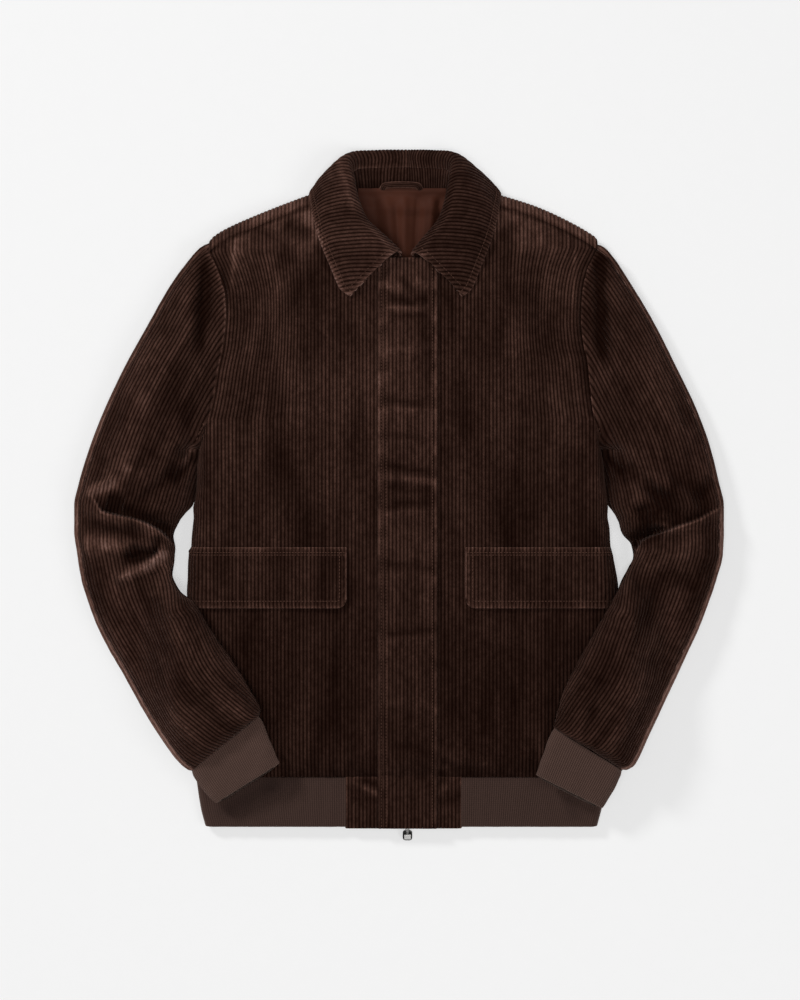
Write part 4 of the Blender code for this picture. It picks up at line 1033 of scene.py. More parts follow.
def make_back():
    (right, x_right), (left, x_left) = (back_half(side) for side in SIDES)
    points = np.concatenate([right[:, :0:-1], left], axis=1)
    across = np.concatenate([-x_right[:0:-1], x_left])
    flat_rows = BACK_ROWS + BACK_TOP_ROWS
    facing = facings(points)
    if float((facing[:flat_rows] * facings(points[:flat_rows], like=(0, 0, -1))).sum()) < 0:
        facing = -facing
    lost = np.linalg.norm(facing, axis=-1, keepdims=True) < 0.5
    facing = np.where(lost, np.array([0, 0, -1.0]), facing)
    plan = points[..., 0], points[..., 1]
    along = run_along(points)
    end = along[-1] - along
    out = np.minimum(across - across[0], across[-1] - across)
    away = np.minimum(np.minimum(end, along), np.where(plan[1] > ARM_LEVEL_Y, out, FAR))
    relief = cords(across) * smooth(away / 3.0) + seam_dip(away)
    soft = -folds(*plan, BACK_FOLDS) - np.abs(gathers(*plan, 27))
    soft = soft * smooth(away / 12.0) * (points[..., 2] < EDGE_RISE)
    cloth = Cloth(points, facing, across, along).lift(relief + soft).over_table()
    strip = points[..., 2] > EDGE_RISE
    # The shoulder strip is painted lighter, a painted highlight; the folds are painted darker,
    # painted shade.
    cloth.nap = np.where(strip, STRIP_PAINTED_LIGHT, BACK_NAP) * (1 + 0.2 * np.clip(soft, -1.5, 0.0))
    # Painted shade along the strip's seams.
    cloth.wear_and_painted_light(np.where(strip, away, FAR), 2.4, -0.4)
    return sew("back_panel", cloth, "corduroy", "back")


make_back()

# %% [markdown]
# ## Sizes of the sleeves
# A sleeve is a row of sections from the shoulder to the cuff. Each has its two edges, its
# thickness, and the share of it that is carried by the body. Further tables give the folds, the
# elbow's overhanging fold, and where light and shade are painted on.

# %% Sizes of the sleeves
FLAP_WALL = 3.2
ARMHOLE_GAP = 1.0
LAY_GAP = 0.9
UNDERARM_Y = 48.0
SLEEVE_PRESS = 4.8
ARMPIT_PRESS = {"right": 0.5, "left": 2.6}
# Painted shade: the wearer's left sleeve is darker, away from the light.
SLEEVE_SIDE_LIGHT = {"right": 1.03, "left": 0.88}
LAY_RISE = table("y rise", (-350, 15.5), (-330, 17.5), (-300, 23.5), (-275, 27.8), (-250, 30),
                 (-200, 31.4), (-100, 31.9))
SLEEVE = {
    "right": table("outer_x outer_y inner_x inner_y thick lift", (-210.5, 267, -135, 195, 27, 0),
                   (-232.6, 244, -149.6, 180, 31, 0), (-249.4, 221, -162.2, 162.2, 34, 0),
                   (-274.6, 176.9, -182.2, 126.5, 37, 0), (-295.6, 139.1, -202.1, 91.9, 38, 0),
                   (-319.7, 88.7, -222.5, 46.5, 38, 0), (-334.4, 50.9, -225.8, 11, 38, 0),
                   (-346, 13.1, -228.3, -11, 38, 0), (-351.2, -12.1, -239.9, -27.8, 38, 0),
                   (-351.2, -37.3, -246.5, -43.6, 37, 0), (-348.1, -62.5, -244.6, -56.2, 37, 0),
                   (-343.9, -87.7, -246, -68.8, 36, 0.05), (-336.5, -112.9, -248.5, -83, 36, 0.3),
                   (-327.1, -138.1, -238.9, -100.3, 36, 0.75),
                   (-314.5, -163.3, -222.1, -112.9, 36, 1),
                   (-299.8, -188.5, -207.4, -138.1, 35, 1),
                   (-278.8, -226.3, -186.4, -168.5, 34, 1), (-262, -251.5, -169.6, -194.8, 33, 1),
                   (-238.9, -280.9, -152.8, -225.2, 28, 1),
                   (-226.6, -290.7, -154.3, -232.0, 15, 1)),
    "left": table("outer_x outer_y inner_x inner_y thick lift", (200.5, 267, 126.5, 193, 27, 0),
                  (218, 248, 139, 178, 31, 0), (239.9, 214.7, 149.6, 162.2, 34, 0),
                  (262, 176.9, 169.6, 126.5, 37, 0), (280.9, 139.1, 187.4, 91.9, 38, 0),
                  (305, 88.7, 208.2, 46.5, 38, 0), (318.7, 50.9, 211.2, 14.8, 38, 0),
                  (328.1, 13.1, 213.4, -11, 38, 0), (333.4, -12.1, 221, -25.7, 38, 0),
                  (333.4, -37.3, 226.3, -41.5, 37, 0), (332.3, -62.5, 235.7, -53, 37, 0),
                  (326, -87.7, 238, -66.7, 36, 0.05), (317.6, -112.9, 231.5, -79.3, 36, 0.3),
                  (308.2, -138.1, 220.6, -98.2, 36, 0.75), (296.6, -163.3, 206.3, -123.4, 36, 1),
                  (285.1, -188.5, 192.7, -147.5, 35, 1), (267.2, -226.3, 174.8, -180, 34, 1),
                  (254.6, -251.5, 162.8, -205.3, 33, 1), (236.8, -285.1, 151.7, -242, 28, 1),
                  (226.3, -289.8, 152.3, -243.7, 15, 1)),
}
SLEEVE_FOLDS = {
    "right": lines((-336, 0, -312, 17, 5, 5.0), (-312, 17, -290, 40, 7, 3.0),
                   (-314, -8, -300, -12, 10, -5.0), (-342, -40, -288, -40, 6, -2.5),
                   (-338, -56, -292, -56, 8, 3.5), (-290, -60, -264, -62, 6.5, -9.0),
                   (-263, -62, -262, -46, 5, -5.0), (-302, -88, -272, -76, 5.5, 7.0),
                   (-272, -76, -258, -58, 4.5, 6.0), (-211, 236, -217, 162, 8, -6.0),
                   (-224, 228, -236, 150, 10, 2.5), (-262, 150, -300, 60, 14, 2.5),
                   (-240, 120, -262, 30, 11, -3.0), (-223, 52, -237, 31, 3.5, 3.0),
                   (-226, 40, -242, 14, 4, -3.5), (-232, 60, -288, 12, 9, 3.0),
                   (-238, 24, -286, -8, 9, -4.0), (-300, 110, -322, 40, 9, -2.0),
                   (-270, 40, -308, -2, 6, -2.5), (-252, 30, -290, -8, 4, 2.0),
                   (-318, -120, -286, -190, 9, 2.0), (-270, -110, -248, -160, 8, -2.0),
                   (-250, -200, -214, -262, 7, 2.2), (-216, -180, -196, -236, 6, -1.8)),
    "left": lines((255, -30, 276, -36, 5, 5.0), (246, -14, 258, -48, 9, -7.0),
                  (252, 6, 282, -22, 8, -5.0), (270, 14, 300, -12, 7, 3.0),
                  (318, -44, 266, -66, 9, 3.0), (300, -92, 258, -84, 8, -3.0),
                  (318, 14, 304, -12, 8, -3.0), (244, -66, 262, -58, 5, 3.5),
                  (201, 244, 203, 150, 7, -6.0), (212, 232, 220, 150, 9, 2.5),
                  (250, 150, 286, 60, 14, 2.5), (226, 120, 246, 30, 11, -3.0),
                  (210, 52, 224, 31, 3.5, 3.0), (212, 40, 228, 14, 4, -3.5),
                  (218, 60, 268, 8, 9, 3.0), (222, 34, 262, -2, 7, -3.5),
                  (284, 110, 306, 40, 9, -2.0), (304, -120, 272, -190, 9, 2.0),
                  (258, -110, 236, -160, 8, -2.0), (200, -195, 187, -249, 5, -3.5),
                  (238, -200, 212, -262, 7, 2.2)),
}
ELBOW_LIP = {
    "right": table("x y depth rise", (-330, -2, 1, 1), (-320.8, -17.3, 9, 3.5),
                   (-312.4, -20.5, 12, 4.5), (-301.9, -22.6, 12, 5), (-291.4, -24.7, 10, 5),
                   (-280.9, -27.8, 9, 5), (-270.4, -32, 12, 5.5), (-259.9, -38.3, 12, 5.5),
                   (-249.4, -47.8, 7, 4)),
    "left": table("x y depth rise", (329.2, -14.2, 2, 2), (317.6, -19.4, 4, 3.5),
                  (307.1, -25.7, 6, 4.5), (286.1, -33.1, 7, 4.5), (274.6, -37.3, 9, 5),
                  (265.1, -40.4, 12, 5), (254.6, -44.6, 12, 5), (245.2, -48.8, 11, 4),
                  (239.9, -58.3, 6, 3)),
}
UNDER_FOLDS = {
    "right": lines((-334, -14, -262, -34, 7, 2.6), (-330, -52, -268, -58, 8, 1.8),
                   (-300, 90, -252, 40, 10, 1.8), (-262, 170, -232, 110, 9, 1.4)),
    "left": lines((320, -12, 246, -36, 7, 2.6), (318, -54, 256, -60, 8, 1.6),
                  (288, 94, 236, 44, 10, 1.8), (250, 172, 218, 112, 9, 1.4)),
}
# Painted light and shade along lines: lit bands on the elbow's folds, shaded bands beside the body
# and under the lip.
SLEEVE_PAINTED_LIGHT = {
    "right": lines((-333, 2, -306, 9, 6, 1.05), (-306, 9, -291, 28, 6, 0.8),
                   (-342, -40, -331, -47, 6, 0.5), (-332, -46, -282, -56, 9, 0.8),
                   (-294, -85, -270, -72, 7, 1.7), (-270, -72, -253, -60, 6, 1.7),
                   (-327, -30, -275, -45, 5, -0.5), (-294, -66, -270, -67, 5, -0.8),
                   (-270, -66, -257, -56, 5, -0.8), (-226, 52, -232, 34, 3, 0.8),
                   (-204, 62, -226, 0, 7, -0.4), (-213, 236, -217, 150, 5, -0.5),
                   (-318, 2, -296, -10, 7, -0.15), (-330, -110, -262, -230, 26, -0.22)),
    "left": lines((254, -20, 284, 14, 10, -0.75), (204, 70, 214, -12, 7, -0.5),
                  (252, -36, 271, -31, 3.5, 0.8), (234, 47, 246, -6, 5, 0.4),
                  (292, -6, 322, 16, 9, -0.3), (262, -40, 246, -50, 5, -0.4),
                  (203, 240, 204, 150, 5, -0.5), (300, -60, 250, -78, 8, 0.3),
                  (310, -120, 250, -230, 22, 0.06)),
}
print("sections of a sleeve:", len(SLEEVE["right"]["thick"]))

# %% [markdown]
# ## Sleeves
# A sleeve is a tube that lies flat: a top sleeve and an under sleeve, sewn along both edges. The
# cords run parallel to the outer edge, so they meet the inner seam and the armhole at a slant. The
# section is worked out very finely first, and the grid then takes its points at even distances
# from the outer seam. The head of each column starts where the column meets the armhole.

# %% Sleeve form
UNDERARM_ROW = 5.0
BACK_SEAM = 0.045
SEAM_SHARE = 0.004
DENSE_STEP = 0.025


def lay_rise(side, x, y):
    """Height that carries whatever lies across the body, eased down past the body's side."""
    eased = read(y, LAY_RISE["y"], LAY_RISE["rise"])
    eased = eased + (LAY_GAP + FLAP_WALL) * smooth((y - FLAP_LOW_Y + 16.0) / 12.0)
    beyond = x - half_width(side, y)
    return eased * (1.0 - smooth((beyond - 2.0) / 55.0))


def sleeve_point(side, at, across, top, folded=1.0):
    """Point of a sleeve's outer face: at is its row, across its share from the outer edge on."""
    row = read_row(at, SLEEVE[side])
    x = row["outer_x"] + (row["inner_x"] - row["outer_x"]) * across
    y = row["outer_y"] + (row["inner_y"] - row["outer_y"]) * across
    away = SIDES[side] * x
    bow = 1.0 - np.abs(1.0 - 2.0 * across)
    carried = row["lift"] * lay_rise(side, away, y)
    rise = np.minimum(EDGE_RISE, row["thick"] * 0.45)
    upper = rise + (row["thick"] - rise) * crown(bow)
    seam_x = np.where(y > UNDERARM_Y, arm_edge(side, y), half_width(side, y))
    near = smooth(1.0 - (away - seam_x) / 38.0) * (at < UNDERARM_ROW + 1.0)
    near = near * smooth((UNDERARM_ROW + 1.0 - at) / 1.5)
    upper = upper + (body_rise(side, np.minimum(away, seam_x), y) - upper) * near
    clear = np.where(y > UNDERARM_Y, smooth((away - seam_x) / 10.0), 1.0)
    upper = upper + folds(x, y, SLEEVE_FOLDS[side]) * smooth(bow / 0.3) * clear * folded
    upper = upper + lip(x, y, ELBOW_LIP[side]) * smooth(bow / 0.12) * folded
    lower = rise * (1.0 - crown(bow, 7.0))
    lower = lower + folds(x, y, UNDER_FOLDS[side]) * smooth(bow / 0.4)
    lower = np.where(lower < 0.25, 0.0, lower)
    return np.stack([x, y, np.where(top, upper, lower) + carried], axis=-1)


def sleeve_section(upper):
    """Shares across and which face, close together where the section turns."""
    t = np.linspace(0, 1, 401)
    if upper:
        return BACK_SEAM + (1 - BACK_SEAM) * (1 - (1 - t) ** 2), np.ones(401, bool)
    first = 1 - SEAM_SHARE
    under = first / 2 * (1 + np.cos(np.pi * t))
    over = (BACK_SEAM - SEAM_SHARE) * np.linspace(0, 1, 60)[1:] ** 2
    return np.concatenate([under, over]), np.arange(460) > 400


def stretch(dense, at_rows, at, columns):
    """Reads a dense (row, column) grid at rows that differ from column to column."""
    low = np.clip(((at - at_rows[0]) / DENSE_STEP).astype(int), 0, len(at_rows) - 2)
    part = ((at - at_rows[low]) / DENSE_STEP)[..., None]
    return dense[low, columns] * (1 - part) + dense[low + 1, columns] * part


SLEEVE_SPACING = 0.125
ELBOW_SPACING = 0.0625
HEAD_ROW = 5.75
ELBOW_END = 11.75
HEAD_STEPS = 34
FOLD_SHARE = 0.25
UNDER_PHASES = (0.0, 0.25, 0.5, 0.75)
SLEEVE_SEED = {"right": 11, "left": 71}


def sleeve_head(side, points, at_rows):
    """Row at which each column of a sleeve starts, beside the armhole."""
    x, y = SIDES[side] * points[..., 0], points[..., 1]
    gap = x - np.where(y > UNDERARM_Y, arm_edge(side, y), half_width(side, y)) - ARMHOLE_GAP
    free = (gap > 0) | (at_rows[:, None] > UNDERARM_ROW + 0.6)
    blocked = np.where(free, 0, np.arange(len(at_rows))[:, None]).max(axis=0)
    start = at_rows[np.minimum(blocked + 1, len(at_rows) - 1)]
    for c, b in enumerate(blocked):
        if gap[b, c] < 0 < gap[b + 1, c]:
            start[c] = at_rows[b] + DENSE_STEP * gap[b, c] / (gap[b, c] - gap[b + 1, c])
    return start


def make_sleeve(side, upper):
    shares, tops = sleeve_section(upper)
    at_rows = np.arange(0, 19 + DENSE_STEP / 2, DENSE_STEP)
    grid_at = at_rows[:, None] + 0 * shares
    grid = sleeve_point(side, grid_at, shares[None, :], tops[None, :])
    normals = facings(grid, like=(0, 0, 1 if upper else -1))
    runs = run_along(sleeve_point(side, grid_at, shares[None, :], tops[None, :], FOLD_SHARE), 1)
    if not upper:
        runs = runs - runs[:, -1:]
    longest = np.abs(runs).max()
    across = marks(0.0, longest) if upper else -marks(0.0, longest, phases=UNDER_PHASES)[::-1]
    dense, dense_facing = (np.array([between(across, run, row) for run, row in zip(runs, source)])
                           for source in (grid, normals))
    edge_away = np.abs(runs[:, [-1 if upper else 0]] - across)
    start = sleeve_head(side, dense, at_rows)
    body_rows = np.concatenate([np.arange(HEAD_ROW, ELBOW_END, ELBOW_SPACING),
                                np.arange(ELBOW_END, 19.0001, SLEEVE_SPACING)])
    step = (np.arange(HEAD_STEPS) / HEAD_STEPS)[:, None]
    at = np.concatenate([start + (body_rows[0] - start) * step, body_rows[:, None] + 0 * start])
    columns = np.arange(len(across))
    points = stretch(dense, at_rows, at, columns)
    facing = unit(stretch(dense_facing, at_rows, at, columns))
    to_edge = stretch(edge_away[..., None], at_rows, at, columns)[..., 0]
    along = run_along(points)
    along = along - along[HEAD_STEPS]
    along = np.median(along, axis=1)[:, None] + 0 * along
    head = np.linalg.norm(points - points[:1], axis=-1)
    cuff = np.linalg.norm(points - points[-1:], axis=-1)
    away = np.minimum(np.minimum(head, cuff), np.minimum(np.abs(across), to_edge))
    seed = SLEEVE_SEED[side] + (0 if upper else 1)
    plan = points[..., 0], points[..., 1]
    relief = cords(across) * smooth(away / 3.0) + seam_dip(away, 1.3, 2.4)
    relief = relief - 1.6 * np.exp(-(head / 6.0) ** 2)
    soft = waves(*plan, 42.0, 0.8, seed) + waves(*plan, 18.0, 0.2, seed + 7)
    soft = soft * smooth(away / 15) * upper + puckers(*plan, away, seed + 9)
    points[..., 2] = np.maximum(points[..., 2], 0.0)
    press = SLEEVE_PRESS * meets(plan[1]) * smooth(1.0 - to_edge / 14.0)
    low_armhole = smooth((plan[1] - 30.0) / 14.0) * smooth((84.0 - plan[1]) / 24.0)
    at_seam = 1.1 * (plan[1] > UNDERARM_Y) + 1.0 * low_armhole
    press = press + at_seam * np.exp(-(head / 7.0) ** 2)
    press = press + ARMPIT_PRESS[side] * low_armhole * smooth(1.0 - to_edge / 12.0)
    points[..., 0] -= SIDES[side] * press
    x, y, z = (points[..., k] for k in range(3))
    cloth = Cloth(points, facing, across, along).lift(relief + soft).over_table()
    if upper:
        # Painted light and shade: lighter on the ridges of the folds and along the edge of the
        # elbow's lip, darker in the troughs.
        crease = folds(x, y, SLEEVE_FOLDS[side]) + lip(x, y, ELBOW_LIP[side])
        lip_x, lip_y = ELBOW_LIP[side]["x"], ELBOW_LIP[side]["y"]
        ridge = lines(*((*ends, 1.3, 0.8) for ends in zip(lip_x, lip_y, lip_x[1:], lip_y[1:])))
        tone = folds(x, y, SLEEVE_PAINTED_LIGHT[side]) + folds(x, y, ridge)
        cloth.nap = np.clip(0.94 + 0.11 * crease + 0.18 * soft + tone, 0.26, 2.9)
        cloth.nap = cloth.nap * SLEEVE_SIDE_LIGHT[side]
        # Painted shade beside the outer seam.
        cloth.nap = cloth.nap * (1.0 - 0.75 * np.exp(-(across / 1.7) ** 2))
    else:
        # The under sleeve's strip, which faces sideways, is painted lighter, most towards the cuff:
        # a painted highlight.
        shown = smooth((z - EDGE_RISE + 3.0) / 5.0) * smooth(1 + across / 22.0)
        cloth.nap = 0.95 + (0.75 + 1.55 * smooth(-y / 60.0)) * shown
    cloth.wear_and_painted_light(np.minimum(np.minimum(head, cuff), to_edge), 2.6, 0.7)
    cloth.turn_in("bottom", 2.4).turn_in("top left right", 2.2)
    name, node = ("top_sleeve_", "sleeve_top_") if upper else ("under_sleeve_", "sleeve_under_")
    return sew(name + side, cloth, "corduroy", node + side)

# %% Sleeves
for side in SIDES:
    make_sleeve(side, True)
    make_sleeve(side, False)

# %% [markdown]
# ## Collar
# The collar stands up from the neck seam, turns over and falls on the shoulders. Its cords run from
# the roll to the free edge: straight up at the back of the neck, and nearly level in front. A table
# gives the cord that each place of the roll and of the edge has, and the grid follows the cords.

# %% Collar form
COLLAR_FOLD = 4.6
COLLAR_STITCH = 6.3
ROLL_SHARE = {"right": 1.0, "left": 0.78}
COLLAR = table("neck_x neck_y neck_z roll_x roll_y roll_z edge_x edge_y edge_z bulge",
               (5.8, 249.5, 27, 8.9, 254.6, 40, 60.4, 208.4, 32.6, 2),
               (13, 254, 26, 17.8, 263.5, 42, 65.5, 211.5, 32.6, 3),
               (22, 260, 26, 27, 272.5, 43, 70.5, 216, 32.6, 3),
               (42, 275, 25.5, 45.7, 291.4, 43, 82, 242, 32.4, 3.5),
               (55, 298, 25, 54.1, 315.5, 41.5, 93, 269.3, 32, 4),
               (59, 315, 21, 58.6, 335.5, 38, 100.3, 296.6, 30, 4.5),
               (56, 320.5, 15, 62.5, 351.2, 30, 104, 317, 17, 3.5),
               (49, 321, 10, 57, 360.5, 18, 93, 325.5, 5.5, 1.5),
               (42, 320.5, 8.6, 49, 362.5, 11.5, 74, 320, 0, 2),
               (34, 320, 7.8, 38, 363.2, 8, 52, 312, 0, 0),
               (17, 319.6, 7.2, 18, 364, 6, 25, 309, 0, 0),
               (0, 319.5, 7, 0, 364, 5.5, 0, 308, 0, 0))


def spline(at, xs, ys):
    """Curve through points with even tangents."""
    return curve(at, xs, ys, np.gradient(ys, xs))


def collar_sections(side, stations, shares):
    """Sections of the collar cloth from the neck seam over the roll to the free edge."""
    row = read_row(stations, COLLAR)
    share = {"neck": ROLL_SHARE[side], "roll": ROLL_SHARE[side], "edge": EDGE_SHARE[side]}
    neck, roll, edge = (np.stack([row[key + "_x"] * share[key], row[key + "_y"], row[key + "_z"]],
                                 axis=-1) for key in share)
    down, out = unit(neck - roll), unit(edge - roll)
    middle = unit(down + out)
    spread = neck - edge
    spread = unit(spread - middle * np.sum(spread * middle, axis=-1, keepdims=True))
    inner = roll + (down + spread) * COLLAR_FOLD * 0.8
    outer = roll + (out - spread) * COLLAR_FOLD * 0.8
    half_way = (outer + edge) / 2
    along = unit(edge - outer)
    push = half_way - neck
    push = unit(push - along * np.sum(push * along, axis=-1, keepdims=True))
    fall = half_way + push * row["bulge"][:, None]
    knots = np.stack([neck, neck * 0.5 + inner * 0.5, inner, roll, outer, fall, edge], axis=1)
    sections = []
    for section in knots:
        run = run_along(section)
        at = np.interp(shares, [0, 0.5, 1, 1.5, 2, 3, 4], run)
        sections.append(np.stack([spline(at, run, section[:, k]) for k in range(3)], axis=-1))
    sections = np.array(sections)
    sections[..., 2] = np.maximum(sections[..., 2], 0.0)
    return sections


ROLL_AT = 1.5
COLLAR_CORDS = table("station roll edge", (0, 164.6, 210.8), (1, 155.7, 207.7), (2, 146.7, 203.2),
                     (3, 127.8, 177.2), (4, 103.7, 147.2), (5, 83.7, 113.6), (6, 68, 82),
                     (7, 57.3, 71), (8, 49, 60), (9, 38, 46), (10, 18, 23.5), (11, 0, 0))
FALL_SHARES = np.concatenate([np.linspace(0.64, 2.0, 17), np.linspace(2.0, 4.0, 27)[1:]])
STAND_SHARES = np.linspace(0.0, 0.6, 10)


def collar_half(side, shares):
    """Half of the collar as a grid: rows are shares round the section, columns follow the cords."""
    stations = np.linspace(0, 11, 221)
    dense = collar_sections(side, stations, shares)
    across = marks(0.0, float(COLLAR_CORDS["edge" if shares[-1] > ROLL_AT else "roll"][0]))
    cord = {key: read(stations, COLLAR_CORDS["station"], COLLAR_CORDS[key])
            for key in ("roll", "edge")}
    rows = []
    for s, share in enumerate(shares):
        fallen = (share - ROLL_AT) / (4.0 - ROLL_AT)
        part = float(smooth(np.array(fallen))) * 0.3 + 0.7 * np.clip(fallen, 0, 1)
        here = cord["roll"] * (1 - part) + cord["edge"] * part
        at = np.interp(across, here[::-1], stations[::-1])
        rows.append(between(at, stations, dense[:, s]))
    points = np.array(rows)
    points[..., 0] *= SIDES[side]
    return points, across


def collar_cloth(shares):
    (right, across_right), (left, across_left) = (collar_half(side, shares) for side in SIDES)
    points = np.concatenate([right[:, :0:-1], left], axis=1)
    across = np.concatenate([-across_right[:0:-1], across_left])
    return points, across, run_along(points)


def make_collar():
    points, across, along = collar_cloth(FALL_SHARES)
    roll_row = np.abs(FALL_SHARES - ROLL_AT).argmin()
    middle = len(across) // 2
    facing = turned(facings(points), roll_row, middle, 1)
    free = along[-1] - along
    sideways = run_along(points, 1)
    front = np.minimum(sideways, sideways[:, -1:] - sideways)
    away = np.minimum(free, front)
    lost = np.linalg.norm(facing, axis=-1) < 0.5
    for r in range(len(points)):
        good = np.flatnonzero(~lost[r] & (front[r] > 0.05))
        nearest = np.clip(np.searchsorted(good, np.arange(len(across))), 0, len(good) - 1)
        facing[r] = facing[r, good[nearest]]
    relief = cords(across) * smooth(away / 2.0)
    relief = relief + seam_dip(np.abs(away - COLLAR_STITCH), 0.9, 1.3) * (along > 30)
    relief = relief - 0.7 * np.exp(-(away / 1.6) ** 2)
    cloth = Cloth(points, facing, across, along).lift(relief).over_table()
    # Painted shade: the wearer's left half of the collar is darker, away from the light.
    cloth.nap = np.where(points[..., 0] > 0, 0.78, 1.16)
    cloth.wear_and_painted_light(away, 2.6, 0.8).wear_and_painted_light(along, 2.2, 0.5)
    cloth.drawn_in(np.where(along > 30.0, away, FAR), along + across)
    # A painted highlight in a band just past the roll.
    cloth.wear_and_painted_light(along - along[roll_row][None, :] - 11.0, 4.0, 0.35)
    rows = [along_contour(cloth.points, cloth.facing, free, COLLAR_STITCH)]
    ends = np.where(free > COLLAR_STITCH, front, 0.0)
    for half in (slice(0, middle), slice(middle, None)):
        part = slice(roll_row + 4, None), half
        rows.append(along_contour(cloth.points[part], cloth.facing[part], ends[part],
                                  COLLAR_STITCH, 1))
    STITCH_LINES["collar_stitches"] = rows
    cloth.turn_in("top left right", 3.0).turn_in("bottom", 2.0)
    return sew("collar_fall", cloth, "corduroy", "collar")


def make_stand():
    points, across, along = collar_cloth(STAND_SHARES)
    facing = turned(facings(points), 4, len(across) // 2, 2)
    away = np.minimum(along, along[-1] - along)
    relief = cords(across) * smooth(away / 2.5) + seam_dip(away)
    cloth = Cloth(points, facing, across, along).lift(relief)
    # Painted shade: darker towards the neck seam, under the collar's roll.
    cloth.nap = 0.62 + 0.28 * smooth(along / along[-1:].max())
    cloth.turn_in("top bottom", 2.2)
    return sew("collar_stand_band", cloth, "corduroy", "collar_stand")

# %% Collar
make_collar()
make_stand()

# %% [markdown]
# ## Pocket flaps and placket
# These lie on the fronts. Their points follow the front, moved out by the cloth's thickness, and
# their free edges are turned in deeply, so that they look doubled.

# %% Flaps and placket
PLACKET_WALL = 3.0
FLAP_INNER = {"right": 65.0, "left": 62.0}
FLAP_CORNER = 9.0
PLACKET_TOP_Y = 247.0
PLACKET_LOW_Y = -350.5
HEM_TOP_RISE = 12.0
# The flaps are darkened, the wearer's left one more: painted shade on that side.
FLAP_SIDE_LIGHT = {"right": 0.84, "left": 0.76}
FLAP_STITCH = 6.2
FLAP_TOP_STITCHES = (4.4, 7.0)
PLACKET_STITCHES = (-27.5, -22.5, 26.2)
FLAP_ROWS = 22
FLAP_SEED = {"right": 22, "left": 21}


def make_flap(side):
    column = arm_column(side)
    inner = FLAP_INNER[side]
    run = side_path(side, ROLL_Y)[0][-1]
    across = marks(inner, column + run * 0.46)
    short = np.clip(1.0 - (across - inner) / FLAP_CORNER, 0.0, 1.0)
    low = FLAP_LOW_Y + FLAP_CORNER * (1.0 - np.sqrt(1.0 - short ** 2))
    y = low + (FLAP_TOP_Y - low) * np.linspace(0, 1, FLAP_ROWS)[:, None]
    x = across + 0 * y
    z = body_rise(side, x, y)
    past = across > column
    for r in range(FLAP_ROWS):
        path, xs, zs = side_path(side, float(y[r, -1]))
        at = (across[past] - column) / run * path[-1]
        x[r, past], z[r, past] = np.interp(at, path, xs), np.interp(at, path, zs)
    points = np.stack([x, y, z], axis=-1)
    from_low, from_top, from_inner = y - low, FLAP_TOP_Y - y, across - inner
    edge = np.minimum(from_low, np.maximum(from_inner, 0) + 0 * y)
    round_edge = np.minimum(edge, from_top)
    relief = cords(across) * smooth(edge / 1.6) * smooth(from_top / 2.0)
    relief = relief + seam_dip(np.abs(edge - FLAP_STITCH), 0.8, 1.3)
    relief = relief + seam_dip(np.abs(from_top - FLAP_TOP_STITCHES[0]), 0.8, 1.3)
    relief = relief + 0.5 * smooth((edge - 1) / 3) + seam_dip(from_top, 1.6, 1.6)
    relief = relief + waves(x, y, 40.0, 0.35, FLAP_SEED[side])
    relief = relief + puckers(x, y, round_edge, FLAP_SEED[side] + 4) * smooth(from_top / 3)
    sunk = 0.6 * smooth((across - column) / (run * 0.4))
    stands_off = (LAY_GAP + FLAP_WALL) * (1.0 - sunk)
    cloth = Cloth(points, facings(points), across, y).lift(relief + stands_off)
    # Painted shade on the wearer's left flap; the edges are worn with a painted highlight.
    cloth.nap = cloth.nap * FLAP_SIDE_LIGHT[side]
    cloth.wear_and_painted_light(round_edge, 2.6, 0.8).drawn_in(round_edge, x + y).mirrored(side)
    STITCH_LINES["flap_stitches_" + side] = [
        along_contour(cloth.points, cloth.facing, field, value, way) for field, value, way in
        [(from_top, stitch, 0) for stitch in FLAP_TOP_STITCHES]
        + [(edge, FLAP_STITCH, 0), (edge, FLAP_STITCH, 1)]]
    cloth.turn_in("bottom", 3.4).turn_in("top", 2.4).turn_in("left right", 3.4)
    return sew("pocket_flap_" + side, cloth, "corduroy", "flap_" + side)


PLACKET_DENTS = lines((-16, 206, 6, 200, 4, -2.4), (8, 204, 22, 206, 4, -2.0),
                      (-20, 218, -6, 215, 3.5, 1.8), (8, 223, 20, 217, 3.5, 2.0),
                      (-4, 227, 6, 212, 3, -1.6), (-20, 195, 20, 194, 3, 1.8),
                      (-14, 186, 16, 188, 3, -1.6), (-26, 150, 26, 156, 4, 1.0),
                      (-25, 100, 20, 94, 4, -2.0), (-24, 92, 22, 87, 3, 1.2),
                      (-22, 62, 24, 58, 4, -1.0), (-22, 30, 26, 22, 4, -2.4),
                      (-26, 19, 24, 14, 3, 2.2), (-20, 8, 24, 2, 3.5, -1.8),
                      (-24, -12, 22, -8, 4, -2.0), (-22, -20, 20, -18, 3, 1.4),
                      (-26, -72, 24, -78, 4, -1.8), (-24, -84, 24, -88, 3, 1.0),
                      (-20, -146, 26, -142, 4, -1.8), (-22, -153, 22, -150, 3, 1.2),
                      (-24, -215, 24, -221, 5, 1.4), (-26, -262, 20, -268, 5, -1.2))


